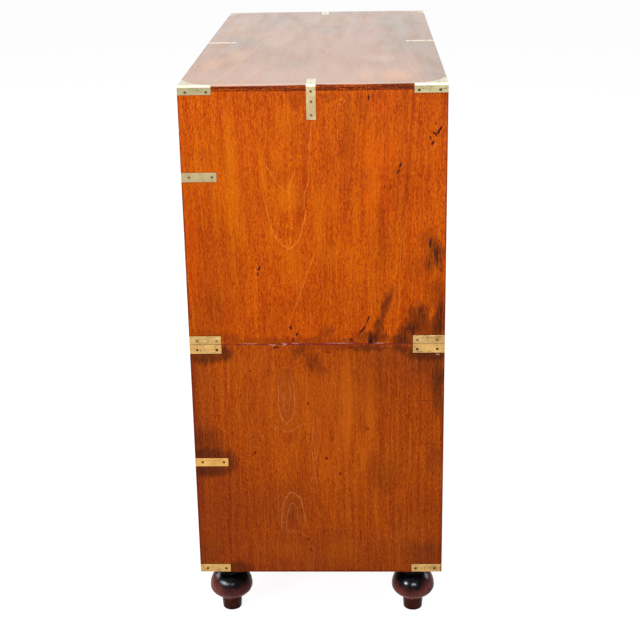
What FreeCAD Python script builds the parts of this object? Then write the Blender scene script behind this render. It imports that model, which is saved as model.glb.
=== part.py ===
"""Two-part brass-bound campaign chest, as an assembly of separate pieces.

An upper and a lower case stand one on the other, located by four wooden pegs.
Each is dovetailed from solid boards, has a framed and panelled back, and takes
drawers that run on rails and runners. Flush brass brackets and straps bind the
corners. Four turned feet screw into the bottom, so the chest packs flat.

Millimetres. +Z up, the front faces -Y, the origin is on the floor under the
middle of the chest.
"""
import FreeCAD
import Part
import math
import os

Vector = FreeCAD.Vector
X = Vector(1, 0, 0)
Y = Vector(0, 1, 0)
Z = Vector(0, 0, 1)
LEFT_RIGHT = (-1, 1)
FRONT_BACK = (-1, 1)

# ---------------------------------------------------------------- overall
chest_width = 1026.0
chest_depth = 457.0
lower_case_height = 461.0
upper_case_height = 464.0
seam_gap = 0.3            # air between the two cases, so that they lift apart

# ---------------------------------------------------------------- case boards
side_thickness = 18.0
upper_top_thickness = 19.0
upper_bottom_thickness = 18.0
lower_top_thickness = 18.0
lower_bottom_thickness = 18.0
top_lap = 9.5             # the top's edge that covers the sides' ends
case_tail_pitch = 62.0
case_tail_cover = 5.0     # wood left outside a blind dovetail
tail_gap = 9.0            # narrowest part of the pin between two tails
tail_slope = 1.0 / 7.0

# ---------------------------------------------------------------- rails and runners
rail_thickness = 18.0
rail_depth = 62.0
rail_tenon_length = 8.0
rail_tenon_thickness = 9.0
rail_tenon_shoulder = 8.0
short_drawer_opening = 130.0
lower_drawer_opening = 202.0   # the lowest drawer's; the one above takes the rest
divider_thickness = 18.0
divider_tenon = 6.0
divider_tenon_thickness = 9.0
runner_width = 46.0
runner_housing = 5.0
runner_tongue = 7.0
runner_tongue_thickness = 6.0
centre_runner_width = 74.0
guide_height = 22.0
stop_length = 34.0
stop_depth = 14.0
stop_height = 6.0
stop_inset = 70.0

# ---------------------------------------------------------------- framed back
back_thickness = 12.0
back_rabbet = 9.0
back_member_width = 62.0
back_tenon = 14.0
back_tenon_thickness = 4.0
back_tenon_shoulder = 15.5
back_panel_thickness = 5.0
back_panel_tongue = 6.0

# ---------------------------------------------------------------- drawers
drawer_side_gap = 0.8
drawer_top_gap = 1.2
drawer_run_gap = 0.3
drawer_rear_gap = 14.0
drawer_front_thickness = 20.0
drawer_side_thickness = 10.0
drawer_back_thickness = 10.0
drawer_bottom_thickness = 8.0
drawer_bottom_lift = 9.0       # from the sides' lower edge to the bottom board
drawer_groove = 5.0
drawer_side_drop = 3.0         # the sides' top edge below the front's
drawer_back_drop = 9.0
drawer_tail_pitch = 33.0
drawer_tail_cover = 6.0
stop_gap = 0.3

# ---------------------------------------------------------------- locks
lock_width = 56.0
lock_height = 42.0
lock_depth = 11.0
lock_plate = 2.0
lock_plate_margin = 10.0       # the plate's reach past the lock's case at each side
lock_plate_drop = 5.0          # and below it
bolt_width = 24.0
bolt_thickness = 5.0
bolt_height = 22.0
bolt_travel = 8.0
bolt_gap = 0.3
mortise_gap = 1.0
keyhole_drop = 26.0            # from the front's top edge to the key pin
keyhole_radius = 3.2
keyhole_slot_width = 3.4
keyhole_slot_drop = 9.0
key_pin_radius = 1.4
escutcheon_rim = 2.0
escutcheon_thickness = 2.0

# ---------------------------------------------------------------- flush pulls
pull_plate_width = 96.0
pull_plate_height = 44.0
pull_plate_thickness = 2.5
pull_plate_corner = 3.0
pull_recess_width = 68.0
pull_recess_height = 29.0
pull_recess_corner = 5.0
pull_recess_depth = 9.5
pull_wall = 3.0
bail_rod = 6.0
bail_span = 56.0               # between the arms' centre lines
bail_drop = 18.0               # from the pivot to the grip's centre line
bail_corner = 9.0
bail_set_back = 0.2            # behind the plate's face
bail_eye_radius = 3.0
bail_pin_radius = 1.5
bail_pin_clearance = 0.08
bail_wall_gap = 0.4
pivot_drop = 6.5               # from the recess's top edge

# ---------------------------------------------------------------- brass binding
brass_thickness = 2.0
bracket_leg = 57.0
top_bracket_height = 16.0
top_bracket_tip = 6.2          # width of the top web at its two ends
top_bracket_curve = 56.0       # radius of the top web's inner edge
upper_seam_bracket_height = 15.5
lower_seam_bracket_height = 17.5
foot_bracket_height = 16.5
rail_strap_height = 16.5
rail_strap_side_leg = 61.0
centre_strap_width = 16.0
centre_strap_top_leg = 56.0
centre_strap_drop = 60.0
end_strap_shift = 2.7          # of the straps over the ends, towards the front

# ---------------------------------------------------------------- brass screws
screw_head_radius = 2.5
screw_head_depth = 1.5
screw_shank_radius = 1.3
screw_length = 11.0
screw_slot_width = 0.7
screw_slot_depth = 0.5
bracket_screws = (13.5, 49.0)  # along each leg, from the chest's edge
strap_screws = (13.5, 53.0)
centre_strap_screws = (12.0, 29.5, 52.5)
centre_strap_top_screws = (15.0, 46.0)
top_bracket_screw_drop = 11.5
top_web_screw = 16.0
upper_seam_screw_rise = 6.5
lower_seam_screw_drop = 10.5
foot_bracket_screw_rise = 7.5

# ---------------------------------------------------------------- locating pegs
peg_radius = 6.0
peg_clearance = 0.4
peg_grip = 12.0
peg_reach = 9.0
peg_end_space = 1.5
peg_inset_side = 90.0
peg_inset_edge = 95.0

# ---------------------------------------------------------------- feet
foot_height = 104.5
foot_inset = 52.0
foot_collar_radius = 25.0
foot_bun_radius = 41.0
foot_bun_drop = 54.0           # from the case to the bun's widest line
foot_bun_lower_height = 25.6   # half height of the bun below that line
foot_neck_radius = 19.8
foot_toe_radius = 18.1
foot_toe_round = 3.5
foot_spigot_radius = 15.0
foot_spigot_length = 15.0
foot_spigot_clearance = 0.4
foot_shoulder_gap = 0.2

# ---------------------------------------------------------------- worked out from the above
right = chest_width / 2
inside = right - side_thickness
front = -chest_depth / 2
rear = chest_depth / 2
back_face = rear - back_thickness
rail_back = front + rail_depth
lower_floor = foot_height
lower_roof = lower_floor + lower_case_height
upper_floor = lower_roof + seam_gap
upper_roof = upper_floor + upper_case_height
upper_rail_top = upper_roof - upper_top_thickness - short_drawer_opening
upper_rail_low = upper_rail_top - rail_thickness
lower_rail_low = lower_floor + lower_bottom_thickness + lower_drawer_opening
lower_rail_top = lower_rail_low + rail_thickness
pull_column = (divider_thickness / 2 + inside) / 2


# ================================================================ helpers
def box(x0, x1, y0, y1, z0, z1):
    """Block between two corners."""
    return Part.makeBox(x1 - x0, y1 - y0, z1 - z0, Vector(x0, y0, z0))


def mirrored_box(side, x0, x1, y0, y1, z0, z1):
    """Block given for the right-hand side, or its mirror image on the left."""
    return box(x0, x1, y0, y1, z0, z1) if side > 0 else box(-x1, -x0, y0, y1, z0, z1)


def prism(points, sweep):
    """Solid swept from a flat outline of points."""
    return Part.Face(Part.makePolygon(points + points[:1])).extrude(sweep)


def joined(shapes):
    """One solid made of shapes that touch or overlap."""
    first, *others = shapes
    return first.fuse(others).removeSplitter() if others else first


def group(shapes):
    """Separate solids kept together as one piece of work."""
    return Part.makeCompound([solid for shape in shapes for solid in shape.Solids])


def cut_by(shape, tools):
    """shape with the room of every tool that reaches it cut away."""
    near = [tool for tool in tools if shape.BoundBox.intersect(tool.BoundBox)]
    return shape.cut(near) if near else shape


def rounded_plate(width, height, corner, centre, depth):
    """Plate in the XZ plane with round corners, from centre's y back by depth."""
    w, h = width / 2 - corner, height / 2 - corner
    lines = []
    for k, (sx, sz) in enumerate(((1, 1), (-1, 1), (-1, -1), (1, -1))):
        pivot = centre + X * (sx * w) + Z * (sz * h)
        start, middle, end = [
            pivot + X * (corner * math.cos(a)) + Z * (corner * math.sin(a))
            for a in (math.pi / 2 * (k + step) for step in (0, 0.5, 1))
        ]
        lines.append(Part.Arc(start, middle, end).toShape())
    edges = []
    for k, arc in enumerate(lines):
        follower = lines[(k + 1) % len(lines)]
        edges += [arc, Part.makeLine(arc.Vertexes[-1].Point, follower.Vertexes[0].Point)]
    return Part.Face(Part.Wire(edges)).extrude(Y * depth)


def tails(start, along, out, through, span, thickness, length, pitch):
    """Row of dovetails on a board's edge, which begins at start and runs along."""
    count = max(2, round(span / pitch))
    step = span / count
    wide = step - tail_gap
    narrow = wide - 2 * length * tail_slope
    made = []
    for k in range(count):
        root = start + along * (step * (k + 0.5))
        tip = root + out * length
        outline = [root - along * (narrow / 2), root + along * (narrow / 2),
                   tip + along * (wide / 2), tip - along * (wide / 2)]
        made.append(prism(outline, through * thickness))
    return made


def screw(head, inward):
    """Countersunk wood screw, flush at head and driven along inward, without its slot."""
    cone = Part.makeCone(screw_head_radius, screw_shank_radius, screw_head_depth, head, inward)
    shank = Part.makeCylinder(screw_shank_radius, screw_length, head, inward)
    return joined([cone, shank])


def slotted(plain, head, inward):
    """The screw with its slot, which runs level, or along Y in the top."""
    across = Y if abs(inward.dot(Z)) > 0.5 else Z
    along = inward.cross(across)
    reach = 2 * screw_head_radius
    corner = head - along * (reach / 2) - across * (screw_slot_width / 2)
    outline = [corner, corner + along * reach,
               corner + along * reach + across * screw_slot_width,
               corner + across * screw_slot_width]
    return plain.cut(prism(outline, inward * screw_slot_depth))


class Binding:
    """Brass plates and their screws on one case, and the room they need in the wood."""

    def __init__(self):
        self.plates = {}
        self.screws = []
        self.plain_screws = []

    def add(self, kind, plate, heads):
        """One plate, and its screws given as (head, inward) pairs."""
        plain = [screw(head, inward) for head, inward in heads]
        self.plates.setdefault(kind, []).append(plate.cut(plain))
        self.screws += [slotted(p, *at) for p, at in zip(plain, heads)]
        self.plain_screws += plain

    def room(self):
        """Everything that the wood makes room for."""
        return [p for plates in self.plates.values() for p in plates] + self.plain_screws


# ================================================================ brass binding
def corner_strip(sx, sy, z0, z1, side_leg, front_leg):
    """L in plan round an upright edge of the chest, let in flush."""
    x_edge, y_edge = sx * right, sy * rear
    corner = Vector(x_edge, y_edge, z0)
    to_side, to_middle = Y * -sy, X * -sx
    outline = [
        corner,
        corner + to_side * side_leg,
        corner + to_side * side_leg + to_middle * brass_thickness,
        corner + (to_side + to_middle) * brass_thickness,
        corner + to_middle * front_leg + to_side * brass_thickness,
        corner + to_middle * front_leg,
    ]
    return prism(outline, Z * (z1 - z0))


def strip_screws(sx, sy, z, spots):
    """Screws at height z in both legs of a corner strip."""
    on_side = [(Vector(sx * right, sy * (rear - s), z), X * -sx) for s in spots]
    on_front = [(Vector(sx * (right - s), sy * rear, z), Y * -sy) for s in spots]
    return on_side + on_front


def top_web(sx, sy):
    """Three-cornered web of a top bracket, with a concave inner edge."""
    leg, tip, radius = bracket_leg, top_bracket_tip, top_bracket_curve
    both = leg + tip
    centre = (both + math.sqrt(both ** 2 - 2 * (leg ** 2 + tip ** 2 - radius ** 2))) / 2
    waist = centre - radius * math.sqrt(0.5)

    def at(from_side, from_front):
        return Vector(sx * (right - from_side), sy * (rear - from_front), upper_roof)

    edges = [
        Part.makeLine(at(0, 0), at(leg, 0)),
        Part.makeLine(at(leg, 0), at(leg, tip)),
        Part.Arc(at(leg, tip), at(waist, waist), at(tip, leg)).toShape(),
        Part.makeLine(at(tip, leg), at(0, leg)),
        Part.makeLine(at(0, leg), at(0, 0)),
    ]
    return Part.Face(Part.Wire(edges)).extrude(Z * -brass_thickness)


def centre_strap(out, middle_edge):
    """Strap bent over the top edge at middle_edge, with out pointing away from the chest."""
    along = out.cross(Z)
    start = middle_edge - along * (centre_strap_width / 2)
    outline = [
        start,
        start - out * centre_strap_top_leg,
        start - out * centre_strap_top_leg - Z * brass_thickness,
        start - out * brass_thickness - Z * brass_thickness,
        start - out * brass_thickness - Z * centre_strap_drop,
        start - Z * centre_strap_drop,
    ]
    plate = prism(outline, along * centre_strap_width)
    heads = [(middle_edge - Z * s, out * -1) for s in centre_strap_screws]
    heads += [(middle_edge - out * s, Z * -1) for s in centre_strap_top_screws]
    return plate, heads


def upper_binding():
    """Brackets and straps of the upper case."""
    brass = Binding()
    rail_middle = (upper_rail_low + upper_rail_top) / 2
    for sx in LEFT_RIGHT:
        for sy in FRONT_BACK:
            strip = corner_strip(sx, sy, upper_roof - top_bracket_height, upper_roof,
                                 bracket_leg, bracket_leg)
            heads = strip_screws(sx, sy, upper_roof - top_bracket_screw_drop, bracket_screws)
            web_spot = Vector(sx * (right - top_web_screw), sy * (rear - top_web_screw), upper_roof)
            brass.add("top_corner_brackets", joined([strip, top_web(sx, sy)]),
                      heads + [(web_spot, Z * -1)])
            strip = corner_strip(sx, sy, upper_floor, upper_floor + upper_seam_bracket_height,
                                 bracket_leg, bracket_leg)
            heads = strip_screws(sx, sy, upper_floor + upper_seam_screw_rise, bracket_screws)
            brass.add("upper_seam_brackets", strip, heads)
        strip = corner_strip(sx, -1, rail_middle - rail_strap_height / 2,
                             rail_middle + rail_strap_height / 2,
                             rail_strap_side_leg, bracket_leg)
        brass.add("upper_edge_straps", strip, strip_screws(sx, -1, rail_middle, strap_screws))
    for out, edge in ((X, Vector(right, -end_strap_shift, upper_roof)),
                      (X * -1, Vector(-right, -end_strap_shift, upper_roof)),
                      (Y, Vector(0, rear, upper_roof)), (Y * -1, Vector(0, front, upper_roof))):
        brass.add("upper_edge_straps", *centre_strap(out, edge))
    return brass


def lower_binding():
    """Brackets and straps of the lower case."""
    brass = Binding()
    rail_middle = (lower_rail_low + lower_rail_top) / 2
    for sx in LEFT_RIGHT:
        for sy in FRONT_BACK:
            strip = corner_strip(sx, sy, lower_roof - lower_seam_bracket_height, lower_roof,
                                 bracket_leg, bracket_leg)
            heads = strip_screws(sx, sy, lower_roof - lower_seam_screw_drop, bracket_screws)
            brass.add("lower_corner_brackets", strip, heads)
            strip = corner_strip(sx, sy, lower_floor, lower_floor + foot_bracket_height,
                                 bracket_leg, bracket_leg)
            heads = strip_screws(sx, sy, lower_floor + foot_bracket_screw_rise, bracket_screws)
            brass.add("lower_corner_brackets", strip, heads)
        strip = corner_strip(sx, -1, rail_middle - rail_strap_height / 2,
                             rail_middle + rail_strap_height / 2,
                             rail_strap_side_leg, bracket_leg)
        brass.add("lower_edge_straps", strip, strip_screws(sx, -1, rail_middle, strap_screws))
    return brass


# ================================================================ case boards
def end_tails(z, thickness):
    """Tails on both ends of a level case board, blind in the sides."""
    made = []
    for sx in LEFT_RIGHT:
        start = Vector(sx * inside, front, z)
        made += tails(start, Y, X * sx, Z, chest_depth, thickness,
                      side_thickness - case_tail_cover, case_tail_pitch)
    return made


def level_board(z0, z1):
    """Board between the sides, and the tails that hold it."""
    row = end_tails(z0, z1 - z0)
    return joined([box(-inside, inside, front, rear, z0, z1)] + row), row


def lapped_top(z0, z1):
    """Top whose upper layer covers the sides' ends, with hidden tails below."""
    row = end_tails(z0, z1 - z0 - top_lap)
    under = box(-inside, inside, front, rear, z0, z1 - top_lap)
    cover = box(-right, right, front, rear, z1 - top_lap, z1)
    return joined([cover, under] + row), row


def front_rail(z0):
    """Rail between two rows of drawers, with a stub tenon at each end."""
    z1 = z0 + rail_thickness
    middle = (z0 + z1) / 2
    tenons = [
        mirrored_box(sx, inside, inside + rail_tenon_length,
                     front + rail_tenon_shoulder, rail_back - rail_tenon_shoulder,
                     middle - rail_tenon_thickness / 2, middle + rail_tenon_thickness / 2)
        for sx in LEFT_RIGHT
    ]
    return joined([box(-inside, inside, front, rail_back, z0, z1)] + tenons)


def runner(x0, x1, z0):
    """Runner behind a rail, tongued into its back edge."""
    middle = z0 + rail_thickness / 2
    strip = box(x0, x1, rail_back, back_face, z0, z0 + rail_thickness)
    tongue_x0, tongue_x1 = max(x0, -inside), min(x1, inside)
    tongue = box(tongue_x0, tongue_x1, rail_back - runner_tongue, rail_back,
                 middle - runner_tongue_thickness / 2, middle + runner_tongue_thickness / 2)
    return joined([strip, tongue])


def side_runners(z0):
    """The pair of runners that are housed in the two sides."""
    return [runner(inside - runner_width, inside + runner_housing, z0),
            runner(-inside - runner_housing, -inside + runner_width, z0)]


def stops(x0, x1, z0):
    """Two small blocks that a closed drawer's front meets."""
    y0 = front + drawer_front_thickness + stop_gap
    return [
        box(x, x + stop_length, y0, y0 + stop_depth, z0, z0 + stop_height)
        for x in (x0 + stop_inset, x1 - stop_inset - stop_length)
    ]


def framed_back(z0, z1):
    """Frame and two panels that fill the rabbet behind one case."""
    x1 = right - back_rabbet
    z0, z1 = z0 + back_rabbet, z1 - back_rabbet
    wide = back_member_width
    mid_y = (back_face + rear) / 2
    tenon_y = (mid_y - back_tenon_thickness / 2, mid_y + back_tenon_thickness / 2)
    panel_y = (mid_y - back_panel_thickness / 2, mid_y + back_panel_thickness / 2)
    inner = x1 - wide
    tenon_half = wide / 2 - back_tenon_shoulder
    panels = [
        mirrored_box(sx, wide / 2 - back_panel_tongue, inner + back_panel_tongue, *panel_y,
                     z0 + wide - back_panel_tongue, z1 - wide + back_panel_tongue)
        for sx in LEFT_RIGHT
    ]
    muntin = joined([
        box(-wide / 2, wide / 2, back_face, rear, z0 + wide, z1 - wide),
        box(-tenon_half, tenon_half, *tenon_y, z0 + wide - back_tenon, z1 - wide + back_tenon),
    ])
    rails = []
    for low, high in ((z0, z0 + wide), (z1 - wide, z1)):
        rail = joined([
            box(-inner, inner, back_face, rear, low, high),
            box(-inner - back_tenon, inner + back_tenon, *tenon_y,
                low + back_tenon_shoulder, high - back_tenon_shoulder),
        ])
        rails.append(rail)
    stiles = [mirrored_box(sx, inner, x1, back_face, rear, z0, z1) for sx in LEFT_RIGHT]
    stiles = [cut_by(stile, rails + panels) for stile in stiles]
    rails = [cut_by(rail, [muntin] + panels) for rail in rails]
    return stiles + rails + [cut_by(muntin, panels)] + panels


def back_space(z0, z1):
    """Room that the sides and level boards leave for the framed back."""
    x1 = right - back_rabbet
    return box(-x1, x1, back_face, rear, z0 + back_rabbet, z1 - back_rabbet)


def peg_places():
    """Centres of the four locating pegs, in plan."""
    return [(sx * (inside - peg_inset_side), sy * (rear - peg_inset_edge))
            for sx in LEFT_RIGHT for sy in FRONT_BACK]


# ================================================================ turned feet
def foot(x, y):
    """Bun foot turned in one piece with the spigot that screws into the case."""
    top = foot_height - foot_shoulder_gap
    bun_z = foot_height - foot_bun_drop
    collar_z = bun_z + math.sqrt(foot_bun_radius ** 2 - foot_collar_radius ** 2)
    neck_z = bun_z - foot_bun_lower_height * math.sqrt(
        1 - (foot_neck_radius / foot_bun_radius) ** 2)

    def at(radius, z):
        return Vector(x + radius, y, z)

    def ring(half_height, z):
        """Point of the bun's outline at height z, for that half height."""
        return at(foot_bun_radius * math.sqrt(1 - ((z - bun_z) / half_height) ** 2), z)

    spigot_top = foot_height + foot_spigot_length
    upper_mid = (collar_z + bun_z) / 2
    lower_axis = Vector(x, y, bun_z)
    lower_ellipse = Part.Ellipse(at(foot_bun_radius, bun_z),
                                 lower_axis - Z * foot_bun_lower_height, lower_axis)
    widest = lower_ellipse.parameter(at(foot_bun_radius, bun_z))
    neck_point = ring(foot_bun_lower_height, neck_z)
    lower_curve = Part.ArcOfEllipse(lower_ellipse, *sorted(
        (widest, lower_ellipse.parameter(neck_point)))).toShape()
    toe_top = at(foot_toe_radius, foot_toe_round)
    toe_mid = at(foot_toe_radius - foot_toe_round * (1 - math.sqrt(0.5)),
                 foot_toe_round * (1 - math.sqrt(0.5)))
    toe_end = at(foot_toe_radius - foot_toe_round, 0)
    edges = [
        Part.makeLine(at(0, spigot_top), at(foot_spigot_radius, spigot_top)),
        Part.makeLine(at(foot_spigot_radius, spigot_top), at(foot_spigot_radius, top)),
        Part.makeLine(at(foot_spigot_radius, top), at(foot_collar_radius, top)),
        Part.makeLine(at(foot_collar_radius, top), at(foot_collar_radius, collar_z)),
        Part.Arc(at(foot_collar_radius, collar_z), ring(foot_bun_radius, upper_mid),
                 at(foot_bun_radius, bun_z)).toShape(),
        lower_curve,
        Part.makeLine(neck_point, toe_top),
        Part.Arc(toe_top, toe_mid, toe_end).toShape(),
        Part.makeLine(toe_end, at(0, 0)),
        Part.makeLine(at(0, 0), at(0, spigot_top)),
    ]
    outline = Part.Wire(Part.__sortEdges__(edges))
    return Part.Face(outline).revolve(Vector(x, y, 0), Z, 360)


def foot_places():
    """Name and centre of each foot, in plan."""
    names = {(-1, -1): "front_left", (1, -1): "front_right",
             (-1, 1): "back_left", (1, 1): "back_right"}
    return {name: (sx * (right - foot_inset), sy * (rear - foot_inset))
            for (sx, sy), name in names.items()}


# ================================================================ drawer hardware
def keyhole(x, z, y, depth, rim):
    """Keyhole outline grown by rim, cut back from y by depth."""
    bow = Part.makeCylinder(keyhole_radius + rim, depth, Vector(x, y, z), Y)
    half = keyhole_slot_width / 2 + rim
    slot = box(x - half, x + half, y, y + depth, z - keyhole_slot_drop - rim, z)
    return joined([bow, slot])


def escutcheon(x, top):
    """Flush brass keyhole lining, and the hole behind it."""
    z = top - keyhole_drop
    ring = keyhole(x, z, front, escutcheon_thickness, escutcheon_rim)
    hole = keyhole(x, z, front, drawer_front_thickness - lock_plate, 0)
    return ring.cut(hole), ring, hole


def lock(x, top):
    """Drawer lock let into the front's inner face: its case, the room it needs, its bolt."""
    inner = front + drawer_front_thickness
    half = lock_width / 2
    wide = half + lock_plate_margin
    body = joined([
        box(x - half, x + half, inner - lock_depth, inner, top - lock_height, top),
        box(x - wide, x + wide, inner - lock_plate, inner,
            top - lock_height - lock_plate_drop, top),
        box(x - wide, x + wide, inner - lock_depth, inner, top - lock_plate, top),
    ])
    bolt_y = inner - lock_depth / 2
    floor = top - bolt_height - bolt_travel - bolt_gap
    space = box(x - bolt_width / 2 - bolt_gap, x + bolt_width / 2 + bolt_gap,
                bolt_y - bolt_thickness / 2 - bolt_gap, bolt_y + bolt_thickness / 2 + bolt_gap,
                floor, top)
    z = top - keyhole_drop
    key_room = keyhole(x, z, inner - lock_depth, lock_depth - lock_plate, 0)
    pin = Part.makeCylinder(key_pin_radius, lock_depth - lock_plate,
                            Vector(x, inner - lock_depth, z), Y)
    case = joined([body.cut([space, key_room]), pin])
    bolt = box(x - bolt_width / 2, x + bolt_width / 2,
               bolt_y - bolt_thickness / 2, bolt_y + bolt_thickness / 2,
               top - bolt_gap - bolt_height, top - bolt_gap)
    return case, body, bolt


def mortise(x, top):
    """Slot above a drawer that its thrown bolt enters."""
    bolt_y = front + drawer_front_thickness - lock_depth / 2
    half = bolt_width / 2 + mortise_gap
    thick = bolt_thickness / 2 + mortise_gap
    reach = bolt_travel - bolt_gap - drawer_top_gap
    return box(x - half, x + half, bolt_y - thick, bolt_y + thick,
               top, top + reach + mortise_gap)


def pull(x, z):
    """Flush pull: its cast plate, the room it needs, its screws and its bail."""
    centre = Vector(x, front, z)
    plate = rounded_plate(pull_plate_width, pull_plate_height, pull_plate_corner,
                          centre, pull_plate_thickness)
    pan = rounded_plate(pull_recess_width + 2 * pull_wall, pull_recess_height + 2 * pull_wall,
                        pull_recess_corner + pull_wall, centre, pull_recess_depth + pull_wall)
    recess = rounded_plate(pull_recess_width, pull_recess_height, pull_recess_corner,
                           centre, pull_recess_depth)
    pivot_z = z + pull_recess_height / 2 - pivot_drop
    pivot_y = front + bail_set_back + bail_rod / 2
    pivot = Vector(x, pivot_y, pivot_z)
    casting = joined([plate, pan])
    pin_reach = pull_recess_width / 2 + pull_wall
    pin_hole = Part.makeCylinder(bail_pin_radius + bail_pin_clearance, 2 * pin_reach,
                                 pivot - X * pin_reach, X)
    away_x = (pull_recess_width / 2 + pull_wall + pull_plate_width / 2) / 2
    away_z = pull_plate_height / 2 - (pull_plate_width / 2 - away_x)
    heads = [(Vector(x + sx * away_x, front, z + sz * away_z), Y)
             for sx in LEFT_RIGHT for sz in (-1, 1)]
    plain = [screw(head, inward) for head, inward in heads]
    screws = [slotted(p, *at) for p, at in zip(plain, heads)]
    finished = casting.cut([recess, pin_hole] + plain)
    return finished, [casting] + plain, screws, bail(pivot)


def bail(pivot):
    """Swinging handle: bent rod, an eye at each end and the pins that it turns on."""
    half = bail_span / 2
    low = -bail_drop
    bend = bail_corner * (1 - math.sqrt(0.5))

    def at(dx, dz):
        return pivot + X * dx + Z * dz

    path = Part.Wire([
        Part.makeLine(at(-half, 0), at(-half, low + bail_corner)),
        Part.Arc(at(-half, low + bail_corner), at(-half + bend, low + bend),
                 at(-half + bail_corner, low)).toShape(),
        Part.makeLine(at(-half + bail_corner, low), at(half - bail_corner, low)),
        Part.Arc(at(half - bail_corner, low), at(half - bend, low + bend),
                 at(half, low + bail_corner)).toShape(),
        Part.makeLine(at(half, low + bail_corner), at(half, 0)),
    ])
    section = Part.Wire(Part.makeCircle(bail_rod / 2, at(-half, 0), Z))
    rod = path.makePipeShell([section], True, False)
    eye_out = pull_recess_width / 2 - bail_wall_gap
    eye_in = half - bail_rod / 2
    pieces = [rod]
    for sx in LEFT_RIGHT:
        pieces.append(Part.makeCylinder(bail_eye_radius, eye_out - eye_in, at(sx * eye_in, 0), X * sx))
        pieces.append(Part.makeCylinder(bail_pin_radius, pull_recess_width / 2 + pull_wall - eye_in
                                        - bail_wall_gap, at(sx * eye_in, 0), X * sx))
    return joined(pieces)


# ================================================================ drawers
def drawer_box(x0, x1, z0, z1):
    """Wooden pieces of the drawer that fills an opening."""
    x0, x1 = x0 + drawer_side_gap, x1 - drawer_side_gap
    z0, z1 = z0 + drawer_run_gap, z1 - drawer_top_gap
    inner = front + drawer_front_thickness
    end = back_face - drawer_rear_gap
    side_top = z1 - drawer_side_drop
    back_top = z1 - drawer_back_drop
    bottom_z = z0 + drawer_bottom_lift
    back_low = bottom_z + drawer_bottom_thickness
    thick = drawer_side_thickness
    bottom = box(x0 + thick - drawer_groove, x1 - thick + drawer_groove,
                 inner - drawer_groove, end, bottom_z, back_low)
    sides, front_tails, rear_tails = [], [], []
    for x, sx in ((x0, 1), (x1, -1)):
        low_x = min(x, x + sx * thick)
        fronts = tails(Vector(low_x, inner, z0), Z, Y * -1, X, side_top - z0, thick,
                       drawer_front_thickness - drawer_tail_cover, drawer_tail_pitch)
        rears = tails(Vector(low_x, end - drawer_back_thickness, back_low), Z, Y, X,
                      back_top - back_low, thick, drawer_back_thickness, drawer_tail_pitch)
        plank = box(low_x, low_x + thick, inner, end - drawer_back_thickness, z0, side_top)
        heel = box(low_x, low_x + thick, end - drawer_back_thickness, end, z0, back_low)
        sides.append(joined([plank, heel] + fronts + rears).cut(bottom))
        front_tails += fronts
        rear_tails += rears
    face = box(x0, x1, front, inner, z0, z1).cut(front_tails + [bottom])
    back = box(x0, x1, end - drawer_back_thickness, end, back_low, back_top).cut(rear_tails)
    return face, sides + [back], bottom, z1


def drawer(name, x0, x1, z0, z1):
    """Every piece of one drawer, and the mortise that its lock needs above it."""
    face, carcase, bottom, top = drawer_box(x0, x1, z0, z1)
    middle = (x0 + x1) / 2
    places = [x for x in (-pull_column, pull_column) if x0 < x < x1]
    height = (z0 + z1) / 2
    lock_case, lock_room, bolt = lock(middle, top)
    lining, lining_room, hole = escutcheon(middle, top)
    brass, room = [lock_case, lining], [lock_room, lining_room, hole]
    bails = []
    for x in places:
        plate, plate_room, screws, handle = pull(x, height)
        brass += [plate] + screws
        room += plate_room
        bails.append(handle)
    pieces = {
        name + "_front": face.cut(room),
        name + "_sides_and_back": group(carcase),
        name + "_bottom": bottom,
        name + "_brasses": group(brass),
        name + "_lock_bolt": bolt,
    }
    labels = ("left_pull", "right_pull") if len(places) > 1 else ("pull",)
    for label, handle in zip(labels, bails):
        pieces[name + "_" + label] = handle
    return pieces, mortise(middle, z1)


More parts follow.
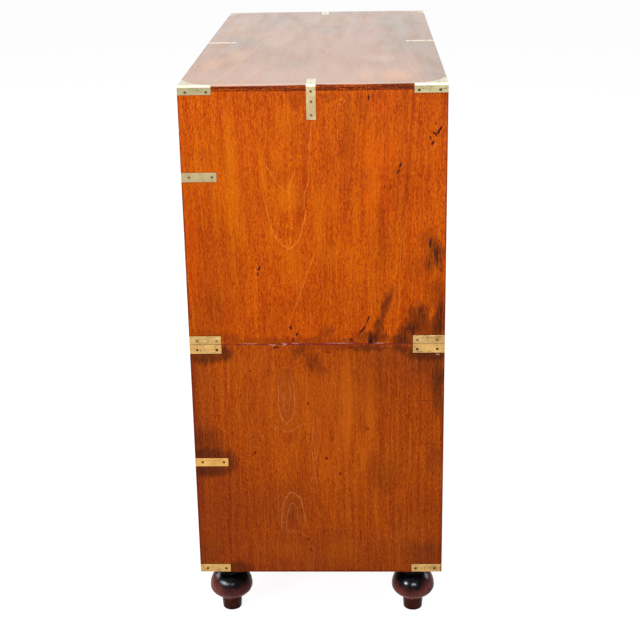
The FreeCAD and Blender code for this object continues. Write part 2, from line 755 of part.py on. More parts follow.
# ================================================================ assembly
def upper_case():
    """The upper case with its three drawers."""
    brass = upper_binding()
    room = brass.room()
    space = back_space(upper_floor, upper_roof)
    half = divider_thickness / 2
    ceiling = upper_roof - upper_top_thickness
    deck = upper_floor + upper_bottom_thickness
    nodes, mortises = {}, []
    openings = (("left_short_drawer", -inside, -half, upper_rail_top, ceiling),
                ("right_short_drawer", half, inside, upper_rail_top, ceiling),
                ("deep_drawer", -inside, inside, deck, upper_rail_low))
    stop_blocks = []
    for name, x0, x1, z0, z1 in openings:
        pieces, slot = drawer(name, x0, x1, z0, z1)
        nodes.update(pieces)
        mortises.append(slot)
        stop_blocks += stops(x0, x1, z0)

    top, top_row = lapped_top(ceiling, upper_roof)
    bottom, bottom_row = level_board(upper_floor, deck)
    rail = front_rail(upper_rail_low)
    centre_runner = runner(-centre_runner_width / 2, centre_runner_width / 2, upper_rail_low)
    runners = side_runners(upper_rail_low) + [centre_runner]
    guide = box(-half, half, rail_back, back_face, upper_rail_top, upper_rail_top + guide_height)
    divider = joined([
        box(-half, half, front, rail_back, upper_rail_top, ceiling),
        box(-divider_tenon_thickness / 2, divider_tenon_thickness / 2,
            front + rail_tenon_shoulder, rail_back - rail_tenon_shoulder,
            upper_rail_top - divider_tenon, ceiling + divider_tenon),
    ])
    pegs, peg_holes = [], []
    for x, y in peg_places():
        base = Vector(x, y, upper_floor - peg_reach)
        pegs.append(Part.makeCylinder(peg_radius, peg_reach + peg_grip, base, Z))
        peg_holes.append(Part.makeCylinder(peg_radius, peg_grip, Vector(x, y, upper_floor), Z))
    for sx, name in ((-1, "upper_side_left"), (1, "upper_side_right")):
        side = mirrored_box(sx, inside, right, front, rear, upper_floor, upper_roof - top_lap)
        nodes[name] = cut_by(side, top_row + bottom_row + [space, rail] + runners + room)
    nodes["upper_top"] = cut_by(top, [space, divider] + mortises + room)
    nodes["upper_bottom"] = cut_by(bottom, [space] + peg_holes + room)
    nodes["upper_back"] = group(
        [cut_by(piece, room) for piece in framed_back(upper_floor, upper_roof)])
    nodes["upper_drawer_rail"] = cut_by(rail, [divider] + runners + mortises + room)
    nodes["upper_drawer_divider"] = cut_by(divider, room)
    nodes["upper_runners_and_stops"] = group(runners + [guide] + stop_blocks)
    for kind, plates in brass.plates.items():
        nodes[kind] = group(plates)
    nodes["upper_bracket_screws"] = group(brass.screws)
    nodes["locating_pegs"] = group(pegs)
    return nodes


def lower_case():
    """The lower case with its two long drawers."""
    brass = lower_binding()
    room = brass.room()
    space = back_space(lower_floor, lower_roof)
    ceiling = lower_roof - lower_top_thickness
    deck = lower_floor + lower_bottom_thickness
    nodes, mortises, stop_blocks = {}, [], []
    for name, z0, z1 in (("upper_long_drawer", lower_rail_top, ceiling),
                         ("lower_long_drawer", deck, lower_rail_low)):
        pieces, slot = drawer(name, -inside, inside, z0, z1)
        nodes.update(pieces)
        mortises.append(slot)
        stop_blocks += stops(-inside, inside, z0)

    top, top_row = level_board(ceiling, lower_roof)
    bottom, bottom_row = level_board(lower_floor, deck)
    rail = front_rail(lower_rail_low)
    runners = side_runners(lower_rail_low)
    peg_holes = [
        Part.makeCylinder(peg_radius + peg_clearance, peg_reach + peg_end_space,
                          Vector(x, y, lower_roof), Z * -1)
        for x, y in peg_places()
    ]
    foot_holes = [
        Part.makeCylinder(foot_spigot_radius + foot_spigot_clearance,
                          lower_bottom_thickness, Vector(x, y, lower_floor), Z)
        for x, y in foot_places().values()
    ]
    for sx, name in ((-1, "lower_side_left"), (1, "lower_side_right")):
        side = mirrored_box(sx, inside, right, front, rear, lower_floor, lower_roof)
        nodes[name] = cut_by(side, top_row + bottom_row + [space, rail] + runners + room)
    nodes["lower_top"] = cut_by(top, [space] + mortises + peg_holes + room)
    nodes["lower_bottom"] = cut_by(bottom, [space] + foot_holes + room)
    nodes["lower_back"] = group(
        [cut_by(piece, room) for piece in framed_back(lower_floor, lower_roof)])
    nodes["lower_drawer_rail"] = cut_by(rail, runners + mortises + room)
    nodes["lower_runners_and_stops"] = group(runners + stop_blocks)
    for kind, plates in brass.plates.items():
        nodes[kind] = group(plates)
    nodes["lower_bracket_screws"] = group(brass.screws)
    for name, (x, y) in foot_places().items():
        nodes["foot_" + name] = foot(x, y)
    return nodes


def main():
    """Writes one STEP file for each node."""
    os.makedirs("parts", exist_ok=True)
    for name, shape in {**lower_case(), **upper_case()}.items():
        shape.exportStep(os.path.join("parts", name + ".step"))


main()
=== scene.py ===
import math

import bmesh
import bpy
from mathutils import Matrix, Vector


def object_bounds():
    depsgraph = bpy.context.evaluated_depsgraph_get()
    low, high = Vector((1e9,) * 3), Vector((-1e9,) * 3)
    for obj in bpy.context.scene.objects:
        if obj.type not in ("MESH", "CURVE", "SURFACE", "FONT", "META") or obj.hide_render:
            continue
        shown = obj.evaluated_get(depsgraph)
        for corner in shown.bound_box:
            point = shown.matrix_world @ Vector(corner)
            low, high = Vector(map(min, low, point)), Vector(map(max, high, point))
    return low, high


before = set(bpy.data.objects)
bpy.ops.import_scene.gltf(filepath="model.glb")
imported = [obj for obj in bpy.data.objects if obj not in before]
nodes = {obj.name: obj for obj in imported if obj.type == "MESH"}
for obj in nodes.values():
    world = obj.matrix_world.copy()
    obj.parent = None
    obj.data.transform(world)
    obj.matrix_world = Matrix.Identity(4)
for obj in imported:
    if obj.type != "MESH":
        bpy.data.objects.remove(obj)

cad_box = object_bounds()


# ---------------------------------------------------------------------------
# Case sides
# Each end of a case is one wide flat-sawn mahogany board, 18 mm thick, planed, stained
# orange-brown and French polished. The grain runs upright, with arched growth lines up
# the middle, short dark pores, and a century of smoky stains and knocks.
MM = 0.001
# the sockets of a Mix node that mixes two colours, and the outputs of a noise
FACTOR, UNDER, OVER, MIXED = 0, 6, 7, 2
NOISE_VALUE, NOISE_COLOUR = 0, 1


def linear(hex_colour):
    """sRGB hex colour as the linear RGBA that a shader takes."""
    parts = [int(hex_colour[k:k + 2], 16) / 255 for k in (1, 3, 5)]
    return [p / 12.92 if p <= 0.04045 else ((p + 0.055) / 1.055) ** 2.4 for p in parts] + [1.0]


def add(tree, kind, settings=(), inputs=()):
    """Adds one shader node; inputs, in order or by name, take values or other outputs."""
    node = tree.nodes.new("ShaderNode" + kind)
    for key, value in dict(settings).items():
        setattr(node, key, value)
    for key, value in (inputs if isinstance(inputs, dict) else dict(enumerate(inputs))).items():
        if isinstance(value, bpy.types.NodeSocket):
            tree.links.new(value, node.inputs[key])
        else:
            node.inputs[key].default_value = value
    return node.outputs


def new_material(name):
    """Empty material with its node tree."""
    material = bpy.data.materials.new(name)
    material.use_nodes = True
    material.node_tree.nodes.clear()
    return material, material.node_tree


def spots(tree, flat, places, softness=0.8):
    """0 to 1 of soft ovals, each (across, along, half width, half length, lean, depth)."""
    fade_end = 1.3
    total = 0.0
    for across, along, half_width, half_length, lean, depth in places:
        cosine, sine = math.cos(math.radians(lean)), math.sin(math.radians(lean))
        away = add(tree, "VectorMath", {"operation": "SUBTRACT"}, (flat, (0, across, along)))[0]
        aside = add(tree, "VectorMath", {"operation": "DOT_PRODUCT"}, (
            away, (0, cosine / half_width, -sine / half_width)))["Value"]
        onward = add(tree, "VectorMath", {"operation": "DOT_PRODUCT"}, (
            away, (0, sine / half_length, cosine / half_length)))["Value"]
        reach = add(tree, "Math", {"operation": "MULTIPLY"}, (aside, aside))[0]
        reach = add(tree, "Math", {"operation": "MULTIPLY_ADD"}, (onward, onward, reach))[0]
        oval = add(tree, "MapRange", (), (reach, 1.0 - softness, fade_end, depth, 0.0))[0]
        total = add(tree, "Math", {"operation": "MAXIMUM"}, (oval, total))[0]
    return total


def run(half_width, depth, *points):
    """Soft ovals end to end along a line that is given by its points."""
    overlap = 1.5
    ovals = []
    for (across, along), (next_across, next_along) in zip(points, points[1:]):
        aside, onward = next_across - across, next_along - along
        ovals.append((across + aside / 2, along + onward / 2, half_width,
                      overlap * math.hypot(aside, onward) / 2,
                      math.degrees(math.atan2(aside, onward)), depth))
    return tuple(ovals)


def place_mm(tree):
    """Where a point of the piece lies, in millimetres."""
    place = add(tree, "TexCoord")["Object"]
    return add(tree, "Mapping", (), {"Vector": place, "Scale": (1 / MM,) * 3})[0]


def streaks(tree, grown, width_mm, length_mm, detail=2.0, output=NOISE_VALUE):
    """Noise drawn out along the grain."""
    stretched = add(tree, "VectorMath", {"operation": "MULTIPLY"}, (
        grown, (1 / width_mm, 1 / width_mm, 1 / length_mm)))[0]
    return add(tree, "TexNoise", (), {
        "Vector": stretched, "Scale": 1.0, "Detail": detail, "Roughness": 0.6})[output]


def pushed(tree, flat, noise, across_mm, along_mm):
    """A board's coordinates, pushed about by a coloured noise."""
    aside = add(tree, "VectorMath", {"operation": "SUBTRACT"}, (noise, (0.5,) * 3))[0]
    return add(tree, "VectorMath", {"operation": "MULTIPLY_ADD"}, (
        aside, (0.0, across_mm, along_mm), flat))[0]


def arched(middle, half_width=60, power=3, taper=0.0, swing=0, wave=900, eye=0):
    """How growth lines lie: they arch over a middle, and may swing in waves from an eye."""
    return middle, half_width, power, taper, swing, wave, eye


def growth_rings(tree, bent, arch):
    """Distance across the growth rings, and how steeply they arch there."""
    middle, half_width, power, taper, swing, wave, eye = arch
    bent = add(tree, "SeparateXYZ", (), (bent,))
    aside = add(tree, "Math", {"operation": "SUBTRACT"}, (bent["Y"], middle))[0]
    aside = add(tree, "Math", {"operation": "ABSOLUTE"}, (aside,))[0]
    inner = add(tree, "MapRange", (), (aside, 0.0, half_width, 0.0, 1.0))[0]
    outer = add(tree, "Math", {"operation": "SUBTRACT"}, (aside, half_width))[0]
    outer = add(tree, "Math", {"operation": "MAXIMUM"}, (outer, 0.0))[0]
    curve = add(tree, "Math", {"operation": "POWER"}, (inner, power))[0]
    ring = add(tree, "Math", {"operation": "MULTIPLY_ADD"}, (curve, half_width / power, outer))[0]
    ring = add(tree, "Math", {"operation": "MULTIPLY_ADD"}, (bent["Z"], -taper, ring))[0]
    if swing:
        turn = add(tree, "MapRange", {"clamp": False}, (
            bent["Z"], eye, eye + wave, 0.0, 2 * math.pi))[0]
        turn = add(tree, "Math", {"operation": "COSINE"}, (turn,))[0]
        sway = add(tree, "MapRange", (), (
            aside, half_width, 3.5 * half_width, -swing, -0.1 * swing))[0]
        ring = add(tree, "Math", {"operation": "MULTIPLY_ADD"}, (turn, sway, ring))[0]
    return ring, curve


def growth_lines(tree, ring, curve, grown, lines):
    """0 to 1 of thin pale growth lines, broken where the polish hides them."""
    line_mm, gap_mm = 0.9, (14.0, 30.0)
    pale = 0.0
    slope = add(tree, "MapRange", (), (curve, 0.0, 1.0, 0.1, 1.0))[0]
    for growth_line in lines:
        gap = add(tree, "Math", {"operation": "SUBTRACT"}, (ring, growth_line))[0]
        gap = add(tree, "Math", {"operation": "ABSOLUTE"}, (gap,))[0]
        gap = add(tree, "Math", {"operation": "DIVIDE"}, (gap, slope))[0]
        line = add(tree, "MapRange", (), (gap, 0.3 * line_mm, 1.4 * line_mm, 1.0, 0.0))[0]
        pale = add(tree, "Math", {"operation": "MAXIMUM"}, (line, pale))[0]
    broken = add(tree, "MapRange", (), (
        streaks(tree, grown, *gap_mm, 1.0), 0.36, 0.56, 0.0, 0.4))[0]
    return add(tree, "Math", {"operation": "MULTIPLY"}, (pale, broken))[0]


def marked(tree, colour, flat, edge, broken, marks):
    """Lays smoke stains, knocks and rubbed places over a colour, each with its ragged edge."""
    soft_over_mm = 12
    for tint, ragged_mm, streaky, places in marks:
        softness = 1.0 if ragged_mm > soft_over_mm else 0.8
        depth = spots(tree, pushed(tree, flat, edge, ragged_mm, 2.4 * ragged_mm), places, softness)
        threads = add(tree, "MapRange", (), (broken, 0.32, 0.55, 1.0 - streaky, 1.0))[0]
        depth = add(tree, "Math", {"operation": "MULTIPLY"}, (depth, threads))[0]
        colour = add(tree, "Mix", {"data_type": "RGBA"}, {
            FACTOR: depth, UNDER: colour, OVER: linear(tint)})[MIXED]
    return colour


def grimed_and_shaded(tree, colour, flat, edge, plates):
    """Dirt, old polish and painted shade in the joint round each brass plate."""
    any_depth, ragged_mm, full_mm, clean_mm, dirt_and_shade_tint = 1e6, 1.2, 0.6, 2.4, "#2a0f08"
    ragged = pushed(tree, flat, edge, ragged_mm, ragged_mm)
    grime_and_shade = 0.0
    for across, along, half_width, half_length, depth in plates:
        away = add(tree, "VectorMath", {"operation": "SUBTRACT"}, (ragged, (0, across, along)))[0]
        away = add(tree, "VectorMath", {"operation": "ABSOLUTE"}, (away,))[0]
        away = add(tree, "VectorMath", {"operation": "SUBTRACT"}, (
            away, (any_depth, half_width, half_length)))[0]
        away = add(tree, "VectorMath", {"operation": "MAXIMUM"}, (away, (0, 0, 0)))[0]
        away = add(tree, "VectorMath", {"operation": "LENGTH"}, (away,))["Value"]
        line = add(tree, "MapRange", (), (away, full_mm, clean_mm, depth, 0.0))[0]
        grime_and_shade = add(tree, "Math", {"operation": "MAXIMUM"}, (line, grime_and_shade))[0]
    return add(tree, "Mix", {"data_type": "RGBA"}, {
        FACTOR: grime_and_shade, UNDER: colour, OVER: linear(dirt_and_shade_tint)})[MIXED]


def mahogany(name, order, shift, arch, tones, marks=(), lines=(), plates=(), figure=1.0,
             specular=0.08, roughness=0.36, cloud_mm=(150.0, 150.0), flecking=(0.8, 0.34, 0.28)):
    """Polished mahogany board: order gives the axes of its depth, width and grain.

    shift moves the pattern, so that no two boards are alike. marks are (colour,
    raggedness, streakiness, places), lines are the growth lines that show pale, plates
    are where brass is let in, and flecking is how strongly the pores, the ray flecks and
    the pale fibres show.
    """
    # widths and lengths; real pores, flecks and fibres are finer, and would not show
    pore_mm, fleck_mm, mottle_mm = (1.6, 8.0), (1.76, 6.4), (2.2, 4.0)
    fibre_mm, pale_fibre_mm, ribbon_mm = (2.5, 70.0), (2.2, 130.0), (15.0, 330.0)
    bend_mm, edge_mm, thread_mm, dull_mm = (45.0, 190.0), (6.0, 20.0), (2.2, 34.0), (26.0, 150.0)
    ring_mm, bent_across_mm, bent_along_mm, pore_depth_mm = 6.5, 16.0, 50.0, 0.2
    pore_tint, fleck_tint, growth_tint = "#c89270", "#b25210", "#ee9a40"
    material, tree = new_material(name)
    split = add(tree, "SeparateXYZ", (), (place_mm(tree),))
    flat = add(tree, "CombineXYZ", (), [split[axis] for axis in order])[0]
    grown = add(tree, "VectorMath", {"operation": "ADD"}, (flat, shift))[0]

    bend = streaks(tree, grown, *bend_mm, 3.0, NOISE_COLOUR)
    ring, curve = growth_rings(tree, pushed(
        tree, flat, bend, bent_across_mm, bent_along_mm), arch)
    ring_place = add(tree, "Math", {"operation": "DIVIDE"}, (ring, ring_mm))[0]
    rings = add(tree, "TexNoise", {"noise_dimensions": "1D"}, {
        "W": ring_place, "Scale": 1.0, "Detail": 2.0})[NOISE_VALUE]

    # tone: rings, ribbon figure, fibre, slow clouds and fine mottle together
    shares = ((0.38, rings), (0.33, streaks(tree, grown, *ribbon_mm)),
              (0.54, streaks(tree, grown, *fibre_mm, 3.0)),
              (0.48, streaks(tree, grown, *cloud_mm)), (0.72, streaks(tree, grown, *mottle_mm)))
    tone = 0.5 - 0.5 * figure * sum(share for share, part in shares)
    for share, part in shares:
        tone = add(tree, "Math", {"operation": "MULTIPLY_ADD"}, (part, share * figure, tone))[0]
    shade = add(tree, "ValToRGB", (), (tone,))[0]
    ramp = shade.node.color_ramp
    ramp.elements[0].position = 0.22
    ramp.elements[1].position = 0.78
    ramp.elements.new(0.5)
    for step, tint in zip(ramp.elements, tones):
        step.color = linear(tint)

    # short dark pores, pale flecks of ray and long pale fibres
    pored, flecked, haired = flecking
    pores = add(tree, "MapRange", (), (streaks(tree, grown, *pore_mm), 0.50, 0.68, 0.0, pored))[0]
    flecks = add(tree, "MapRange", (), (
        streaks(tree, grown, *fleck_mm), 0.46, 0.30, 0.0, flecked))[0]
    fibres = add(tree, "MapRange", (), (
        streaks(tree, grown, *pale_fibre_mm), 0.54, 0.70, 0.0, haired))[0]
    colour = add(tree, "Mix", {"data_type": "RGBA", "blend_type": "MULTIPLY"}, {
        FACTOR: pores, UNDER: shade, OVER: linear(pore_tint)})[MIXED]
    for amount in (flecks, fibres):
        colour = add(tree, "Mix", {"data_type": "RGBA", "blend_type": "SCREEN"}, {
            FACTOR: amount, UNDER: colour, OVER: linear(fleck_tint)})[MIXED]
    if lines:
        pale = growth_lines(tree, ring, curve, grown, lines)
        colour = add(tree, "Mix", {"data_type": "RGBA"}, {
            FACTOR: pale, UNDER: colour, OVER: linear(growth_tint)})[MIXED]
    edge = streaks(tree, grown, *edge_mm, 3.0, NOISE_COLOUR)
    colour = marked(tree, colour, flat, edge, streaks(tree, grown, *thread_mm, 3.0), marks)
    if plates:
        colour = grimed_and_shaded(tree, colour, flat, edge, plates)

    dull = add(tree, "MapRange", (), (
        streaks(tree, grown, *dull_mm, 3.0), 0.3, 0.7, roughness - 0.05, roughness + 0.07))[0]
    relief = add(tree, "Math", {"operation": "MULTIPLY_ADD"}, (
        pores, -1.0, streaks(tree, grown, *fibre_mm)))[0]
    bump = add(tree, "Bump", (), {
        "Strength": 0.3, "Distance": pore_depth_mm * MM, "Height": relief})[0]
    surface = add(tree, "BsdfPrincipled", (), {
        "Base Color": colour, "Roughness": dull, "Normal": bump,
        "Specular IOR Level": specular})[0]
    add(tree, "OutputMaterial", (), {"Surface": surface})
    return material


SMOKE, KNOCK, SEAM_SHADE, CHIP_AND_EDGE_HIGHLIGHT = "#200e0a", "#2a0d0c", "#6a1a26", "#d09a90"
RED_EDGE, LATEWOOD, DARKENED, BOARD_JOINT = "#5c1408", "#963004", "#4c1c06", "#3a1006"
BROWNER, BRIGHTER, ORANGE, REDDER = "#782a02", "#f08806", "#f07202", "#e04400"
LOWER_BROWNER, LOWER_REDDER, LOWER_BRIGHTER = "#5e2010", "#5e1c0c", "#d2680e"
PALE_LINE, LOWER_PALE_LINE, PITH_FLECK = "#f49c38", "#b8703c", "#561408"
seam_mm = 565.6
upper_side_tones = ("#943302", "#b84b02", "#ce6703")
# the lower case's tones are darker, partly its own wood and partly painted shade where less light
# falls
lower_side_tones = ("#7f2c05", "#993e05", "#ae530b")
upper_right_marks = (
    # browner, brighter, more orange and redder bands
    (BROWNER, 24, 0.3, (
        (-175, 690, 70, 170, 0, 0.30), (-216, 780, 16, 130, 0, 0.34), (-204, 592, 40, 34, 0, 0.35),
        (57, 960, 13, 80, 0, 0.34), (104, 756, 7, 110, 0, 0.14), (-107, 800, 9, 60, 0, 0.12),
        (82, 990, 14, 30, 0, 0.35), (20, 710, 15, 90, 0, 0.24), (112, 740, 18, 85, 0, 0.34),
        (156, 760, 16, 90, 0, 0.12), (204, 668, 26, 36, 0, 0.30), (66, 640, 110, 50, 0, 0.20),
        (110, 650, 24, 60, 0, 0.22), (-85, 600, 40, 60, 0, 0.18), (-26, 1003, 16, 17, 0, 0.40),
        (130, 917, 12, 24, 0, 0.10), (-85, 723, 12, 30, 0, 0.14), (72, 697, 14, 22, 0, 0.16),
        (180, 672, 40, 14, 0, 0.18), (74, 963, 12, 40, 0, 0.14), (-22, 930, 16, 40, 0, 0.12),
        (176, 702, 22, 44, 0, 0.30), (132, 726, 16, 40, 0, 0.20))),
    (BRIGHTER, 24, 0.3, (
        (-143, 868, 15, 120, 0, 0.30), (-170, 862, 13, 90, 0, 0.16), (-130, 800, 13, 70, 0, 0.20),
        (-84, 850, 8, 130, -4, 0.15), (-47, 838, 30, 34, 0, 0.28), (-62, 884, 16, 40, 0, 0.14),
        (72, 812, 10, 60, 0, 0.14), (52, 730, 60, 30, 0, 0.08), (8, 815, 13, 60, 0, 0.20),
        (-45, 960, 26, 40, 0, 0.16), (-185, 900, 20, 60, 0, 0.12), (-45, 718, 24, 44, 0, 0.16))),
    (ORANGE, 24, 0.3, (
        (99, 868, 15, 110, 0, 0.34), (128, 930, 14, 60, 0, 0.14), (30, 830, 14, 60, 0, 0.26),
        (200, 940, 14, 60, 0, 0.12), (155, 930, 18, 50, 0, 0.12))),
    (REDDER, 24, 0.3, (
        (119, 1000, 22, 28, 0, 0.14), (165, 781, 14, 40, 0, 0.10), (119, 864, 12, 60, 0, 0.08),
        (132, 917, 12, 30, 0, 0.10), (-218, 755, 12, 90, 0, 0.16))),
    # old polish that has darkened above the joint, and beside the brass
    (DARKENED, 10, 0.1, (
        (150, 576, 22, 10, 0, 0.40), (-165, 580, 30, 10, 0, 0.32), (-200, 588, 34, 8, 0, 0.26),
        (-30, 571, 230, 8, 0, 0.40), (95, 580, 34, 12, 0, 0.55), (200, 594, 34, 22, 0, 0.65),
        (18, 590, 16, 14, 0, 0.40), (-199, 909, 28, 18, 0, 0.10), (-212, 618, 20, 46, 0, 0.14),
        (-180, 630, 18, 46, 0, 0.22), (198, 754, 14, 26, 0, 0.34), (24, 1008, 18, 9, 0, 0.28),
        (112, 1008, 16, 9, 0, 0.28))),
    # darker wood inside the two arches, and down the left of them
    (LATEWOOD, 13, 0.5, (
        *run(9.0, 0.22, (-123, 930), (-120, 856)),
        *run(9.0, 0.40, (-120, 856), (-117, 790), (-101, 720)),
        *run(9.0, 0.50, (-86, 838), (-76, 788), (-55, 768), (-32, 772), (-24, 816), (-16, 870)),
        *run(7.0, 0.50, (-16, 870), (-13, 930), (-5, 975)),
        *run(7.0, 0.15, (-96, 970), (-88, 920), (-80, 880)), (-56, 870, 18, 22, 0, 0.30))),
    # the pale lines of the arches, and a small curl by the top
    (PALE_LINE, 4, 0.75, (
        *run(1.0, 0.42, (-87, 835), (-79, 796), (-72, 769), (-57, 750), (-44, 742), (-31, 756),
             (-23, 775), (-15, 806)),
        *run(0.9, 0.34, (-84, 894), (-72, 874), (-62, 858), (-45, 844), (-40, 861), (-34, 880)),
        *run(0.9, 0.32, (-2, 970), (-6, 932), (-10, 893), (-9, 863), (-17, 842), (-18, 816)),
        *run(0.9, 0.34, (-3, 731), (-24, 671), (-46, 611)),
        *run(0.9, 0.30, (150, 755), (147, 690), (146, 630)),
        (49, 1004, 2.0, 1.6, 0, 0.5), (55, 1001, 1.4, 3.0, 30, 0.4), (45, 997, 1.2, 3, -30, 0.4))),
    (SMOKE, 14, 0.6, (
        (212, 731, 13, 31, -4, 0.9), (200, 714, 13, 20, 0, 0.65), (122, 634, 8, 44, 20, 0.75),
        (110, 600, 10, 30, 16, 0.85), (180, 620, 19, 27, 40, 0.92), (164, 592, 19, 27, 34, 0.95),
        (220, 616, 13, 56, 4, 0.85), (100, 576, 12, 16, 0, 0.95), (154, 570, 20, 18, 0, 0.95),
        (120, 578, 16, 9, 0, 0.5), (213, 660, 18, 30, 0, 0.32))),
    (KNOCK, 4, 0.0, (
        (214, 950, 2.2, 10, 35, 1.0), (206, 944, 2.2, 7, -50, 1.0), (203, 929, 2.4, 5, 30, 1.0),
        (199, 937, 1.8, 3, 0, 0.9), (208, 962, 1.8, 4, 10, 0.8), (201, 752, 2.2, 10, 6, 1.0),
        (148, 890, 1.9, 5, 25, 1.0), (144, 879, 1.9, 5, 40, 1.0), (94, 1007, 1.7, 6, 0, 1.0),
        (-99, 708, 1.7, 5, 25, 1.0), (-101, 698, 1.6, 4, 10, 0.9), (-147, 679, 1.8, 4, 0, 0.5),
        (92, 612, 1.7, 9, 20, 1.0), (82, 592, 2.2, 10, 35, 1.0), (-46, 596, 2.2, 4, 0, 1.0),
        (-35, 584, 2.6, 4, 0, 0.9), (-42, 574, 2.2, 5, 0, 0.8), (62, 572, 3.6, 4, 0, 0.7),
        (96, 570, 4.4, 6, 0, 1.0), (24, 880, 3, 2, 0, 0.4))),
    # stain that has stayed red by the edges, and the joint under the top board
    (RED_EDGE, 6, 0.3, (
        (-229, 700, 3.4, 140, 0, 0.55), (30, 840, 12, 110, 0, 0.14), (150, 850, 16, 85, 0, 0.14))),
    (RED_EDGE, 1, 0.3, ((-229.5, 797, 3.6, 420, 0, 0.60), (229.5, 797, 4.0, 420, 0, 0.65))),
    (BOARD_JOINT, 1, 0.0, ((0, 1019.9, 232, 1.2, 0, 0.9),)),
    # painted shade in the seam between the cases, chips along it, and a pale line up the front
    # edge that is wear with painted highlight
    (SEAM_SHADE, 2, 0.0, ((0, seam_mm - 0.4, 240, 1.6, 0, 0.95),)),
    (CHIP_AND_EDGE_HIGHLIGHT, 3, 0.0, (
        (-58, 566.6, 5, 1.2, 0, 0.6), (-38, 566.6, 7, 1.1, 0, 0.6), (-120, 566.4, 16, 0.9, 0, 0.5),
        (40, 566.4, 26, 0.8, 0, 0.5), (112, 566.6, 9, 0.9, 0, 0.8), (-229, 955, 2, 3, 0, 0.8),
        *run(0.9, 0.6, (-228.8, 790), (-228.8, 700), (-228.8, 640)))),
)
seam_shade = (SEAM_SHADE, 2, 0.0, ((0, seam_mm, 240, 1.6, 0, 0.95),))
